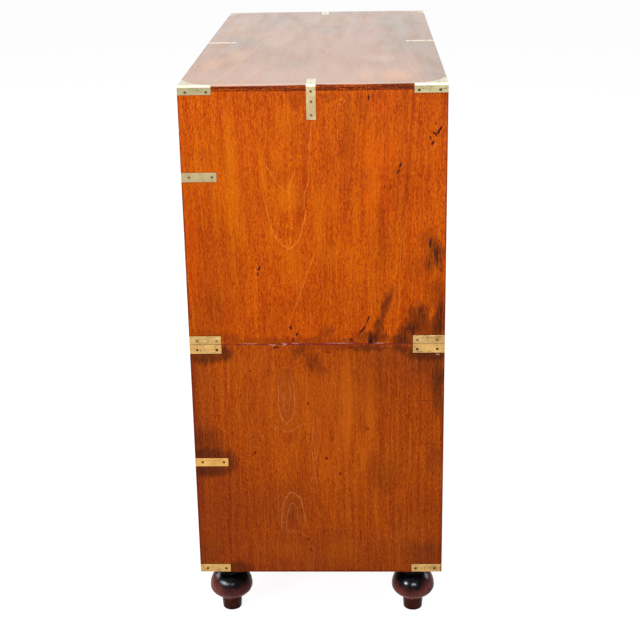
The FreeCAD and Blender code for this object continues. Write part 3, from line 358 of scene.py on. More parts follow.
lower_right_marks = (
    # browner and redder clouds towards the edges, and brighter bands between them
    (LOWER_BROWNER, 14, 0.3, (
        (-50, 232, 17, 42, 0, 0.60), (-44, 291, 14, 8, 0, 0.30), (-57, 446, 13, 34, 0, 0.42),
        # the broad browner band along the bottom, at (0, 90), is painted shade, darker towards the
        # floor
        (-190, 200, 80, 150, 0, 0.40), (0, 90, 300, 120, 0, 0.45), (-215, 400, 30, 90, 0, 0.30),
        (150, 545, 90, 30, 0, 0.25), (-84, 232, 90, 60, 0, 0.36), (187, 200, 46, 90, 0, 0.20),
        (190, 510, 40, 40, 0, 0.30), (-218, 385, 14, 50, 0, 0.45), (-212, 130, 30, 40, 0, 0.4),
        (205, 150, 34, 50, 0, 0.45), (-212, 508, 24, 36, 0, 0.30), (-218, 270, 16, 90, 0, 0.46),
        (-222, 130, 18, 30, 0, 0.40), (206, 132, 26, 22, 0, 0.35), (-60, 480, 16, 40, 0, 0.25),
        (160, 162, 44, 30, 0, 0.40), (150, 200, 30, 60, 0, 0.28), (-120, 378, 14, 20, 0, 0.20),
        (-210, 425, 16, 20, 0, 0.25), (-68, 484, 12, 30, 0, 0.20), (212, 335, 16, 40, 0, 0.38),
        (-208, 166, 26, 30, 0, 0.28))),
    (LOWER_REDDER, 14, 0.3, ((-228, 330, 16, 260, 0, 0.40), (228, 180, 12, 120, 0, 0.35))),
    (LOWER_BRIGHTER, 24, 0.3, (
        (0, 455, 120, 64, 0, 0.20), (52, 444, 15, 106, 0, 0.50), (94, 430, 13, 90, 0, 0.34),
        (46, 525, 10, 24, 0, 0.16), (12, 340, 14, 80, 0, 0.24), (82, 348, 13, 54, 0, 0.36),
        (128, 328, 14, 40, 0, 0.22), (-110, 530, 30, 30, 0, 0.18), (40, 148, 44, 26, 0, 0.10),
        (-68, 152, 60, 22, 0, 0.10), (38, 400, 8, 110, 0, 0.25), (83, 464, 10, 40, 0, 0.18))),
    # pale growth lines: the eye, the wave under it, the cap, and one inside each of those
    (LOWER_PALE_LINE, 4, 0.75, (
        *run(1.0, 0.64, (-71, 490), (-71, 441), (-67, 421), (-58, 411), (-47, 421), (-42, 441),
             (-43, 478), (-48, 510)),
        *run(0.9, 0.58, (-77, 403), (-66, 397), (-56, 394), (-43, 400), (-31, 409), (-20, 409)),
        *run(0.9, 0.50, (-62, 470), (-57, 455), (-53, 445)),
        *run(1.1, 0.72, (-73, 200), (-70, 233), (-66, 254), (-56, 271), (-46, 269), (-34, 257),
             (-30, 233), (-28, 210)),
        *run(1.0, 0.60, (-7, 430), (-10, 397), (-13, 362), (-10, 332), (-5, 287)),
        *run(0.9, 0.52, (0, 420), (-4, 390), (-7, 360), (-4, 330)),
        *run(0.9, 0.52, (-68, 200), (-55, 190), (-40, 192), (-28, 180)),
        *run(0.8, 0.45, (-64, 500), (-64, 470), (-60, 436), (-54, 436), (-50, 470), (-52, 500)),
        *run(0.9, 0.50, (-64, 190), (-61, 222), (-56, 246), (-49, 250), (-42, 236), (-40, 205)))),
    # smoke round the strap and the brackets, and below the seam
    (SMOKE, 9, 0.1, (
        (-168, 334, 20, 26, 0, 0.55), (-204, 350, 44, 17, 0, 0.68), (-204, 317, 44, 15, 0, 0.68),
        (-152, 113, 26, 16, 0, 0.55), (-166, 548, 16, 18, 0, 0.70), (-202, 540, 38, 14, 0, 0.7),
        (152, 556, 18, 9, 0, 0.6), (92, 558, 40, 7, 0, 0.55), (-212, 140, 34, 34, 0, 0.26),
        (194, 140, 46, 30, 0, 0.28), (-208, 374, 40, 34, 0, 0.38), (196, 544, 42, 13, 0, 0.66))),
    (SMOKE, 14, 0.5, (
        (-30, 553, 18, 14, -40, 0.50), (-8, 532, 16, 22, -30, 0.46), (6, 514, 12, 12, 0, 0.35),
        (217, 490, 14, 70, 0, 0.80), (227, 430, 6, 110, 0, 0.5), (190, 528, 30, 24, 0, 0.35),
        (116, 315, 34, 54, 0, 0.28), (120, 500, 56, 66, 0, 0.18), (60, 470, 36, 80, 0, 0.08))),
    (PITH_FLECK, 3, 0.0, (
        (-18, 449, 2.2, 3.2, 0, 1.0), (-117, 353, 3.4, 2.6, 0, 0.9), (-121, 349, 2, 3, 0, 0.6),
        (14, 342, 3.2, 3.6, 0, 0.9), (39, 310, 2.8, 4, 20, 0.9), (89, 400, 4, 4.5, 0, 0.6),
        (-122, 514, 2.2, 2.6, 0, 0.8), (-120, 450, 3, 1.8, 0, 0.6), (20, 550, 7, 2.4, 0, 0.7),
        (-73, 559, 7, 3.4, 0, 0.8), (-23, 173, 3.2, 3.4, 0, 0.7), (-18, 152, 2.6, 4, 0, 0.6),
        (196, 455, 20, 1.6, 0, 0.5), (-90, 148, 2.6, 2.6, 0, 0.5))),
    # stain that has stayed red by the edges, painted shade in the seam, and chips; the pale
    # line on the front edge is wear with painted highlight
    (RED_EDGE, 7, 0.3, (
        (-226, 480, 5, 80, 0, 0.45), (-228, 300, 3.4, 180, 0, 0.7), (0, 105.5, 232, 2.4, 0, 0.8),
        (30, 560, 55, 7, 0, 0.4))),
    (RED_EDGE, 1, 0.3, ((-229.5, 335, 3.6, 420, 0, 0.60), (229.5, 335, 4.0, 420, 0, 0.60))),
    seam_shade,
    (CHIP_AND_EDGE_HIGHLIGHT, 3, 0.0, (
        (-80, 564.6, 8, 0.9, 0, 0.7), (-58, 564.6, 4, 1.0, 0, 0.8), (216, 545, 4, 1.8, 0, 0.5),
        (-229, 470, 1.0, 28, 0, 0.5))),
)
Z_GRAIN, X_GRAIN, TOP_GRAIN = ("X", "Y", "Z"), ("Y", "Z", "X"), ("Z", "Y", "X")
# brass let into the sides: (across, along, half width, half length, depth of dirt and painted shade)
bracket_mm, bracket_half_mm, strap_mm, strap_half_mm = 200, 28.5, -198, 30.5
top_height_mm, over_seam_mm, under_seam_mm, floor_height_mm = 1021.8, 573.5, 556.8, 112.8
upper_strap_height_mm, lower_strap_height_mm = 871.8, 333.5
upper_plates = (
    (-bracket_mm, top_height_mm, bracket_half_mm, 8, 0.2),
    (bracket_mm, top_height_mm, bracket_half_mm, 8, 0.3),
    (-bracket_mm, over_seam_mm, bracket_half_mm, 7.8, 0.7),
    (bracket_mm, over_seam_mm, bracket_half_mm, 7.8, 0.7),
    (-2.7, 999.8, 8, 30, 0.25), (strap_mm, upper_strap_height_mm, strap_half_mm, 8.2, 0.4))
lower_plates = (
    (-bracket_mm, under_seam_mm, bracket_half_mm, 8.8, 0.7),
    (bracket_mm, under_seam_mm, bracket_half_mm, 8.8, 0.8),
    (-bracket_mm, floor_height_mm, bracket_half_mm, 8.2, 0.6),
    (bracket_mm, floor_height_mm, bracket_half_mm, 8.2, 0.8),
    (strap_mm, lower_strap_height_mm, strap_half_mm, 8.2, 0.5))
side_boards = {
    "upper_side_right": mahogany(
        "french_polished_mahogany_upper_right", Z_GRAIN, (0, 40, 310),
        arched(-43, taper=0.078), upper_side_tones, upper_right_marks,
        plates=upper_plates, specular=0.05, flecking=(1.0, 0.50, 0.26)),
    "lower_side_right": mahogany(
        "french_polished_mahogany_lower_right", Z_GRAIN, (70, 400, 90),
        arched(-53, 40, 2, swing=8, wave=290, eye=442), lower_side_tones, lower_right_marks,
        plates=lower_plates, specular=0.05, flecking=(0.85, 0.50, 0.30)),
    "upper_side_left": mahogany(
        "french_polished_mahogany_upper_left", Z_GRAIN, (900, 130, 700),
        arched(30, 70, taper=-0.07), upper_side_tones,
        ((SMOKE, 12, 0.4, ((-206, 940, 20, 34, 0, 0.5), (180, 612, 22, 38, -25, 0.6))),
         (KNOCK, 5, 0.0, ((-60, 820, 3, 8, 20, 0.8), (120, 700, 3, 9, -20, 0.8))), seam_shade),
        (56.0, 64.0), upper_plates),
    "lower_side_left": mahogany(
        "french_polished_mahogany_lower_left", Z_GRAIN, (500, 870, 150),
        arched(-10, 50, 2, swing=12, wave=360, eye=260), lower_side_tones,
        ((SMOKE, 12, 0.4, ((180, 536, 34, 17, 0, 0.6), (-196, 330, 38, 26, 0, 0.6))),
         (KNOCK, 5, 0.0, ((40, 400, 4, 6, 0, 0.8), (-130, 250, 3, 8, 10, 0.7))), seam_shade),
        (-8.0, 9.0), lower_plates),
}


def rounded(piece, round_mm, rim_mm=0.0, rim_height=None):
    """Softens a piece's worn edges, and rounds the chest's outer rim at a height more."""
    weld_mm, close_mm, sharp_degrees = 0.002, 0.01, 40
    weld = piece.modifiers.new("weld", "WELD")
    weld.merge_threshold = weld_mm * MM
    bevels = [("worn_edges", round_mm, 2, "ANGLE", "")]
    if rim_mm:
        half_width, half_depth = (size - close_mm * MM for size in cad_box[1][:2])
        rim = piece.vertex_groups.new(name="rim")
        rim.add([v.index for v in piece.data.vertices
                 if abs(v.co.z - rim_height) < close_mm * MM
                 and (abs(v.co.x) > half_width or abs(v.co.y) > half_depth)], 1.0, "REPLACE")
        bevels.insert(0, ("rounded_rim", rim_mm, 4, "VGROUP", "rim"))
    for name, width_mm, segments, limit, group in bevels:
        bevel = piece.modifiers.new(name, "BEVEL")
        bevel.width = width_mm * MM
        bevel.segments = segments
        bevel.limit_method = limit
        bevel.vertex_group = group
        bevel.angle_limit = math.radians(sharp_degrees)
        bevel.use_clamp_overlap = True
        bevel.harden_normals = True


def finished(name, *materials):
    """Gives a piece of the frame its finish and returns it."""
    piece = nodes[name]
    piece.data.materials.clear()
    for material in materials:
        piece.data.materials.append(material)
    return piece


# the boards' edges and inner faces were only stained and wiped with oil
straight = arched(0, swing=4)
side_edges = mahogany("oiled_mahogany_side_edges", Z_GRAIN, (260, 900, 30), straight,
                      ("#7c3208", "#98430c", "#ad5612"))
for name, board in side_boards.items():
    side = finished(name, board, side_edges)
    for face in side.data.polygons:
        if abs(face.center.x) < cad_box[1][0] - MM:
            face.material_index = 1
    rounded(side, 0.7)


# ---------------------------------------------------------------------------
# Top board
# A figured mahogany board with its grain along the chest, polished brighter than the
# sides, with faded and darkened patches. Its ends lap over the tops of the sides.
FADED, ROSY, DULLED, BLOOM_AND_HIGHLIGHT = "#e8963a", "#c67a52", "#5a521e", "#ecc0a8"
DARK_ARRIS, UNDER_ARRIS = "#2c241c", "#481408"
top_marks = (
    (ROSY, 40, 0.1, (
        (-86, -125, 40, 170, 0, 0.55), (47, 30, 110, 260, 0, 0.50), (95, 226, 44, 50, 0, 0.50),
        (-20, 400, 220, 130, 0, 0.40), (60, -330, 70, 120, 0, 0.25))),
    # pale bloom in patches; the broad patch over the near end and the strip along the near edge are
    # painted highlight
    (BLOOM_AND_HIGHLIGHT, 40, 0.0, ((-10, 440, 230, 170, 0, 0.22), (-83, -10, 34, 80, 0, 0.30),
                      (116, 232, 30, 60, 0, 0.34))),
    (BLOOM_AND_HIGHLIGHT, 3, 0.2, ((0, 510, 260, 9, 0, 0.60),)),
    (DULLED, 40, 0.3, (
        (-99, -377, 50, 110, 0, 0.34), (-160, 5, 36, 90, 0, 0.50), (155, 0, 46, 170, 0, 0.50),
        (206, 40, 24, 470, 0, 0.42), (168, -270, 60, 190, 0, 0.56), (213, 300, 20, 150, 0, 0.50),
        (208, 430, 22, 60, 0, 0.60), (16, -180, 34, 70, 0, 0.30), (-50, 300, 36, 80, 0, 0.25),
        (0, -470, 260, 40, 0, 0.30))),
    (FADED, 40, 0.4, (
        (-192, 290, 22, 70, 0, 0.66), (-152, 185, 19, 80, 0, 0.56), (142, 427, 30, 62, 0, 0.90),
        (90, 410, 15, 70, 0, 0.65), (-190, -190, 18, 90, 0, 0.35))),
    (FADED, 14, 0.6, (
        *run(6.0, 0.45, (-199, 470), (-198, 420), (-197, 323)),
        *run(6.0, 0.45, (-163, 470), (-160, 420), (-146, 310)),
        *run(7.0, 0.45, (-122, 500), (-118, 450), (-88, 298)))),
    (DARK_ARRIS, 1, 0.0, ((-228, 0, 1.6, 520, 0, 0.6), (228, 0, 1.6, 520, 0, 0.6),
                          (0, -512, 230, 5, 0, 0.6))),
)
top_board = mahogany(
    "glossy_figured_mahogany_top", TOP_GRAIN, (300, 210, 90), arched(20, taper=0.07),
    ("#945016", "#b66c20", "#cc8c30"), top_marks, figure=0.8, specular=0.62, roughness=0.17,
    cloud_mm=(60.0, 240.0), flecking=(0.35, 0.12, 0.10))
Y_GRAIN = ("X", "Z", "Y")
lapped_end = mahogany(
    "french_polished_mahogany_lapped_ends", Y_GRAIN, (40, 660, 30), arched(0),
    ("#4a1503", "#802e06", "#b44c0a"),
    # painted highlight: the arris is painted pale towards the front, over a dark line
    ((BLOOM_AND_HIGHLIGHT, 1, 0.0, ((1029.8, -120, 2.1, 150, 0, 0.75), (1029.8, 60, 1.2, 80, 0, 0.4))),
     (UNDER_ARRIS, 1, 0.2, ((1026.4, -130, 1.0, 130, 0, 0.50),))),
    figure=2.2, specular=0.05)
top = finished("upper_top", top_board, lapped_end)
nearly = 0.9     # how much of a face's normal lies along an axis that it faces
for face in top.data.polygons:
    if abs(face.normal.x) > nearly and abs(face.center.x) > cad_box[1][0] - MM:
        face.material_index = 1
rounded(top, 0.7, 0.9, cad_box[1][2])


# ---------------------------------------------------------------------------
# Level boards, drawer rails and divider
# Straight-grained mahogany, dovetailed or tenoned into the sides. Only their front
# edges show between the drawers, and those are polished with the rest of the case.
oiled_tones = ("#6f3516", "#8a4a23", "#9f5d30")
board_backs = mahogany("oiled_mahogany_board_backs", X_GRAIN, (610, 40, 90), straight,
                       oiled_tones, roughness=0.6)
for row, (name, grain) in enumerate((
        ("upper_bottom", X_GRAIN), ("lower_top", X_GRAIN), ("lower_bottom", X_GRAIN),
        ("upper_drawer_rail", X_GRAIN), ("lower_drawer_rail", X_GRAIN),
        ("upper_drawer_divider", Z_GRAIN))):
    edge = mahogany("french_polished_mahogany_" + name, grain, (row * 170, row * 90, 40),
                    straight, ("#8f3a0a", "#ad4d0c", "#c46416"), figure=0.8)
    level_board = finished(name, edge, board_backs)
    for face in level_board.data.polygons:
        if face.normal.y > nearly:
            face.material_index = 1
    rounded(level_board, 0.7)


# ---------------------------------------------------------------------------
# Framed backs
# Thin mahogany stiles, rails and a muntin round two loose panels, planed and wiped with
# oil but never polished, so they are duller, paler and browner than the outside.
back_member_mm, stile_end_mm = 62, 440
case_floor_mm = 104.5
# the joint between the cases shows as a dark line
JOINT_SHADOW = "#1e0e08"
upright_joint = ((JOINT_SHADOW, 1, 0.0, (
    (-470, seam_mm, 60, 1.5, 0, 0.85), (470, seam_mm, 60, 1.5, 0, 0.85))),)
level_joint = ((JOINT_SHADOW, 1, 0.0, ((seam_mm, 0, 1.5, 900, 0, 0.85),)),)
for case, floor_mm, roof_mm, seed in (
        ("upper", 565.8, 1029.8, 0), ("lower", case_floor_mm, 565.5, 500)):
    upright = mahogany("oiled_mahogany_%s_back_panels" % case, Z_GRAIN, (seed, 60, 20),
                       arched(120, 70, taper=0.07), oiled_tones, upright_joint, roughness=0.6)
    level = mahogany("oiled_mahogany_%s_back_rails" % case, X_GRAIN, (seed, 330, 80),
                     straight, oiled_tones, level_joint, roughness=0.6)
    back = finished(case + "_back", upright, level)
    for face in back.data.polygons:
        across, up = face.center.x / MM, face.center.z / MM
        in_rail = up < floor_mm + back_member_mm or up > roof_mm - back_member_mm
        if in_rail and abs(across) < stile_end_mm:
            face.material_index = 1
    rounded(back, 0.5)


# ---------------------------------------------------------------------------
# Runners, stops and locating pegs
# Plain unpolished mahogany inside the cases, and four pegs that stand in the upper
# case's floor and drop into holes in the lower case.
bare_wood = mahogany("bare_mahogany_runners", Y_GRAIN, (700, 20, 40), straight,
                     ("#7a4220", "#93562d", "#a8683a"), roughness=0.65)
for name in ("upper_runners_and_stops", "lower_runners_and_stops", "locating_pegs"):
    rounded(finished(name, bare_wood), 0.5)


# ---------------------------------------------------------------------------
# Drawer fronts
# Solid mahogany fronts with the grain along them and growth lines that arch from one
# side, French polished to match the sides. Dirt and painted shade darken the wood round
# the brasses.
pull_column_mm, pull_half_width_mm, pull_half_height_mm = 252, 48, 22
drawers = {
    "left_short_drawer": ((0, 130, 130), 945.8, arched(946, taper=0.07)),
    "right_short_drawer": ((60, 530, 530), 945.8, arched(940, 50, taper=-0.07)),
    "deep_drawer": ((140, 260, 260), 723.3, arched(700, 70, taper=0.07)),
    "upper_long_drawer": ((260, 820, 820), 445.0, arched(450, 50, 2, swing=12, wave=640, eye=160)),
    "lower_long_drawer": ((410, 350, 350), 223.5, arched(205, taper=-0.07)),
}
for name, (shift, height_mm, arch) in drawers.items():
    columns = [column for column in (-pull_column_mm, pull_column_mm)
               if (column < 0) != ("right" in name) or "short" not in name]
    plates = [(height_mm, column, pull_half_height_mm, pull_half_width_mm, 0.85)
              for column in columns]
    front = mahogany("french_polished_mahogany_" + name, X_GRAIN, shift, arch,
                     ("#92390a", "#b4500d", "#cb6817"), plates=plates, lines=(-14.0, 2.0, 22.0))
    rounded(finished(name + "_front", front), 0.8)


# ---------------------------------------------------------------------------
# Drawer linings
# Sides and back of thin cedar, dovetailed to the front, and a cedar bottom in grooves.
# They are planed and left bare, so they stay pale and matt.
lining_tones = ("#96653c", "#b27c4e", "#c79362")
side_lining = mahogany("planed_cedar_drawer_sides", Y_GRAIN, (30, 60, 90), straight,
                       lining_tones, figure=0.8, roughness=0.7)
back_lining = mahogany("planed_cedar_drawer_backs", X_GRAIN, (230, 60, 90), straight,
                       lining_tones, figure=0.8, roughness=0.7)
bottom_lining = mahogany("planed_cedar_drawer_bottoms", TOP_GRAIN, (90, 20, 50),
                         arched(0, 80, taper=0.07), lining_tones, figure=0.8, roughness=0.7)
lining_mm, slack_mm = 10, 0.5
for name in drawers:
    carcase = finished(name + "_sides_and_back", side_lining, back_lining)
    back_from_mm = max(v.co.y for v in carcase.data.vertices) / MM - lining_mm - slack_mm
    left_mm = min(v.co.x for v in carcase.data.vertices) / MM + lining_mm
    right_mm = max(v.co.x for v in carcase.data.vertices) / MM - lining_mm
    for face in carcase.data.polygons:
        if face.center.y / MM > back_from_mm and left_mm < face.center.x / MM < right_mm:
            face.material_index = 1
    rounded(carcase, 0.4)
    rounded(finished(name + "_bottom", bottom_lining), 0.4)


# ---------------------------------------------------------------------------
# Corner brackets and straps
# Sheet brass about 2 mm thick, sawn out, let in flush and filed level with the wood. Its
# lacquer has gone, so it is scratched and spotted with tarnish, and a painted highlight
# makes it palest on top.
def brass(name, light, deep, top_highlight="#fff6dc", roughness=0.34, spotted=0.6, scratch=0.3, dirt=()):
    """Old worn brass: two tones, scratches, dark spots, dirt at places, and a painted highlight on
    top.
    """
    # real scratches are finer; these are drawn so that they show
    scratch_width_mm, scratch_length_mm, scratch_depth_mm = 0.8, 24.0, 0.08
    spot_mm, patch_mm, blotch_mm, tarnish_tint = 2.0, 18.0, 22.0, "#4e3a1c"
    highlight_from_mm, highlight_to_mm = (cad_box[1][2] / MM - below for below in (4.2, 2.4))
    material, tree = new_material(name)
    flat = place_mm(tree)
    blotch = add(tree, "TexNoise", (), {
        "Vector": flat, "Scale": 1 / blotch_mm, "Detail": 4.0})[NOISE_VALUE]
    blotch = add(tree, "MapRange", (), (blotch, 0.35, 0.65, 0.0, 1.0))[0]
    colour = add(tree, "Mix", {"data_type": "RGBA"}, {
        FACTOR: blotch, UNDER: linear(light), OVER: linear(deep)})[MIXED]
    dim = 0.0
    for turn in ((0, 0, 0), (0.12, 0.1, 0.2), (0.9, 0.3, 0.5)):
        lines = add(tree, "Mapping", (), {
            "Vector": flat, "Rotation": turn,
            "Scale": (1 / scratch_width_mm, 1 / scratch_length_mm, 1 / scratch_width_mm)})[0]
        lines = add(tree, "TexNoise", (), {
            "Vector": lines, "Scale": 1.0, "Detail": 1.0})[NOISE_VALUE]
        lines = add(tree, "MapRange", (), (lines, 0.60, 0.72, 0.0, scratch))[0]
        dim = add(tree, "Math", {"operation": "MAXIMUM"}, (lines, dim))[0]
    # spots of tarnish, more of them in some patches than in others
    stain = add(tree, "TexNoise", (), {
        "Vector": flat, "Scale": 1 / spot_mm, "Detail": 1.0})[NOISE_VALUE]
    patch = add(tree, "TexNoise", (), {
        "Vector": flat, "Scale": 1 / patch_mm, "Detail": 1.0})[NOISE_VALUE]
    stain = add(tree, "Math", {"operation": "MULTIPLY_ADD"}, (patch, 0.6, stain))[0]
    stain = add(tree, "MapRange", (), (stain, 0.92, 1.02, 0.0, spotted))[0]
    dim = add(tree, "Math", {"operation": "MAXIMUM"}, (dim, stain))[0]
    if dirt:
        dim = add(tree, "Math", {"operation": "MAXIMUM"}, (dim, spots(tree, flat, dirt)))[0]
    # painted highlight: the top few millimetres of the chest's brass are mixed towards a pale tint
    height = add(tree, "SeparateXYZ", (), (flat,))["Z"]
    upward = add(tree, "MapRange", (), (height, highlight_from_mm, highlight_to_mm, 0.0, 0.85))[0]
    for amount, tint in ((dim, tarnish_tint), (upward, top_highlight)):
        colour = add(tree, "Mix", {"data_type": "RGBA"}, {
            FACTOR: amount, UNDER: colour, OVER: linear(tint)})[MIXED]
    rough = add(tree, "MapRange", (), (dim, 0.0, 1.0, roughness, roughness + 0.3))[0]
    bump = add(tree, "Bump", (), {
        "Strength": 0.25, "Distance": scratch_depth_mm * MM, "Height": dim})[0]
    surface = add(tree, "BsdfPrincipled", (), {
        "Base Color": colour, "Metallic": 0.9, "Roughness": rough, "Normal": bump})[0]
    add(tree, "OutputMaterial", (), {"Surface": surface})
    return material


# dirt, and painted shade along the seam, each (across, along, half width, half length, lean, depth)
brass_seam_shade = (0, seam_mm, 300, 0.9, 0, 0.75)
case_brass = {
    "top_corner_brackets": (
        "rubbed_sheet_brass_top", "#9b9271", "#887f5f", "#ebe6cb", 0.34, 0.5, 0.08,
        ((224, 1021, 1.6, 1.8, 0, 0.8), (214, 1019, 1.6, 1.4, 0, 0.75), (219, 1020, 4, 1.0, 0, 0.6),
         (186, 1021, 1.2, 1.2, 0, 0.6))),
    "upper_edge_straps": (
        "rubbed_sheet_brass_upper_straps", "#ae9e76", "#9b8964", "#fff8d8", 0.34, 0.3, 0.14,
        ((-176, 866, 1.3, 1.6, 0, 0.7), (-182, 868, 1.2, 1.0, 0, 0.6), (-190, 865, 1.4, 0.8, 0, 0.5),
         (-186, 875, 1.0, 1.0, 0, 0.5), (-203, 868, 1.0, 0.9, 0, 0.4))),
    "upper_seam_brackets": (
        "rubbed_sheet_brass_upper_seam", "#cca668", "#b18b54", "#fff6dc", 0.34, 0.8, 0.4,
        (brass_seam_shade, (218, 578, 10, 3, 0, 0.5))),
    "lower_corner_brackets": (
        "rubbed_sheet_brass_lower", "#d0a763", "#b88e55", "#fff6dc", 0.34, 0.9, 0.45,
        (brass_seam_shade, (227, 112, 2.4, 10, 0, 0.8), (214, 114, 12, 4, 0, 0.35),
         (-228, 105, 3, 3, 0, 0.6))),
    "lower_edge_straps": (
        "rubbed_sheet_brass_lower_straps", "#d8a75b", "#c8954f", "#fff6dc", 0.34, 0.4, 0.2),
}
for name, metal in case_brass.items():
    rim_height = case_floor_mm * MM if "lower" in name else cad_box[1][2]
    rounded(finished(name, brass(*metal)), 0.3, 1.2, rim_height)
# the two brackets at the far end have kept their brown tarnish
tarnished = brass("tarnished_sheet_brass_top", "#a39a78", "#8d8468", "#e0d6bc", 0.4, 0.6, 0.2)
far_brackets = nodes["top_corner_brackets"]
far_brackets.data.materials.append(tarnished)
for face in far_brackets.data.polygons:
    if face.center.x < 0:
        face.material_index = 1


# ---------------------------------------------------------------------------
# Bracket screws
# Countersunk brass screws with slotted heads, which hold the plates in their recesses
# and lie level with them. They are dark with dirt and old polish.
outer_mm, inner_mm, head_mm = 215, 179.5, 4
top_row_mm, seam_row_mm, floor_row_mm = 1018.3, 555, 112
for name, finish, dirty_heads in (
        ("upper_bracket_screws", ("dirty_brass_screws", "#86765a", "#5e5038", "#9a8a66"), (
            (outer_mm, top_row_mm, 0.95), (inner_mm, top_row_mm, 0.95),
            (-outer_mm, top_row_mm, 0.6), (-inner_mm, top_row_mm, 0.7))),
        ("lower_bracket_screws", ("darker_brass_screws", "#6c4414", "#3e260a", "#8a7a5a"), (
            (outer_mm, seam_row_mm, 0.95), (inner_mm, seam_row_mm, 0.95),
            (-inner_mm, seam_row_mm, 0.7), (outer_mm, floor_row_mm, 0.8),
            (inner_mm, floor_row_mm, 0.9), (-inner_mm, floor_row_mm, 0.9),
            (-outer_mm, floor_row_mm, 0.8)))):
    dirt = [(across, along, head_mm, head_mm, 0, depth) for across, along, depth in dirty_heads]
    finished(name, brass(*finish, 0.5, 0.8, 0.3, dirt))


# ---------------------------------------------------------------------------
# Pulls, keyhole linings and locks
# Cast brass pulls let in flush, with a bail that hangs in a dished recess, brass keyhole
# linings, and the locks' cases and bolts behind.
pull_brass = brass("rubbed_cast_brass_pulls", "#dcbd7c", "#c49f5e", "#e8cf96", 0.3, 0.6, 0.5)
bail_brass = brass("worn_brass_bails", "#e2c68a", "#cfae6e", "#efd9a4", 0.24, 0.3)
for name in drawers:
    rounded(finished(name + "_brasses", pull_brass), 0.25)
    finished(name + "_lock_bolt", bail_brass)
    for bail in ("_pull", "_left_pull", "_right_pull"):
        if name + bail in nodes:
            finished(name + bail, bail_brass)


# ---------------------------------------------------------------------------
# Turned feet
# Bun feet turned in dense dark hardwood, stained red-black and polished to a high gloss;
# painted shade makes them nearly black above, under the case, and red-brown below. Each
# screws up into the floor of the lower case.
def stained_and_shaded_hardwood(name):
    """Glossy red-black stain, browner towards the toe, with painted shade that blackens the top."""
    foot_row_mm, cloud_mm, wander_mm = 176.5, 12.0, 16.0
    # real fibres are finer; these are drawn so that they show
    thread_width_mm, thread_length_mm, thread_depth_mm = 1.6, 24.0, 0.15
    toe_mm, crown_mm, thread_tint, sheen_tint = 6.0, 106.0, "#7a5a54", "#c08a80"
    material, tree = new_material(name)
    flat = place_mm(tree)
    split = add(tree, "SeparateXYZ", (), (flat,))
    cloud = add(tree, "TexNoise", (), {
        "Vector": flat, "Scale": 1 / cloud_mm, "Detail": 4.0})[NOISE_VALUE]
    # painted shade: black above, under the case, and browner lower down; the brown reaches
    # further up on the side away from the other row of feet, and a little further up on the side
    # towards it
    worn = add(tree, "Math", {"operation": "MULTIPLY_ADD"}, (cloud, wander_mm, split["Z"]))[0]
    aside = add(tree, "Math", {"operation": "ABSOLUTE"}, (split["Y"],))[0]
    for near_mm, far_mm, lower_mm in ((8, 38, -31.0), (-14, -41, -12.0)):
        lowered = add(tree, "MapRange", (), (
            aside, foot_row_mm + near_mm, foot_row_mm + far_mm, 0.0, lower_mm))[0]
        worn = add(tree, "Math", {"operation": "ADD"}, (worn, lowered))[0]
    worn = add(tree, "MapRange", (), (worn, toe_mm, crown_mm, 0.0, 1.0))[0]
    shade = add(tree, "ValToRGB", (), (worn,))[0]
    ramp = shade.node.color_ramp
    ramp.elements[0].color = linear("#38150c")
    ramp.elements[1].position = 0.84
    ramp.elements[1].color = linear("#040306")
    for position, tint in ((0.26, "#42190f"), (0.32, "#804438"), (0.45, "#6c3432"), (0.64, "#0e0508")):
        ramp.elements.new(position).color = linear(tint)
    grain = add(tree, "Mapping", (), {"Vector": flat, "Scale": (
        1 / thread_width_mm, 1 / thread_width_mm, 1 / thread_length_mm)})[0]
    grain = add(tree, "TexNoise", (), {
        "Vector": grain, "Scale": 1.0, "Detail": 3.0})[NOISE_VALUE]
    threads = add(tree, "MapRange", (), (grain, 0.45, 0.7, 0.0, 0.7))[0]
    colour = add(tree, "Mix", {"data_type": "RGBA", "blend_type": "MULTIPLY"}, {
        FACTOR: threads, UNDER: shade, OVER: linear(thread_tint)})[MIXED]
    rough = add(tree, "MapRange", (), (cloud, 0.3, 0.7, 0.16, 0.24))[0]
    bump = add(tree, "Bump", (), {
        "Strength": 0.2, "Distance": thread_depth_mm * MM, "Height": grain})[0]
    surface = add(tree, "BsdfPrincipled", (), {
        "Base Color": colour, "Roughness": rough, "Normal": bump, "Specular IOR Level": 0.05,
        "Sheen Weight": 0.28, "Sheen Roughness": 0.35, "Sheen Tint": linear(sheen_tint)})[0]
    add(tree, "OutputMaterial", (), {"Surface": surface})
    return material


foot_polish = stained_and_shaded_hardwood("glossy_stained_and_shaded_turned_hardwood")
foot_names = ("foot_front_left", "foot_front_right", "foot_back_left", "foot_back_right")
for name in foot_names:
    finished(name, foot_polish)


# ---------------------------------------------------------------------------
# Room and camera
# A pale floor and white surroundings, a large soft lamp over the right-hand end, a
# smaller one by the camera and soft fill for the other sides.
def seen_ray(tree):
    """1 where the camera looks, straight, in a gloss or through glass, and 0 elsewhere."""
    rays = add(tree, "LightPath")
    seen = 0.0
    for ray in ("Is Camera Ray", "Is Glossy Ray", "Is Transmission Ray"):
        seen = add(tree, "Math", {"operation": "MAXIMUM"}, (rays[ray], seen))[0]
    return seen


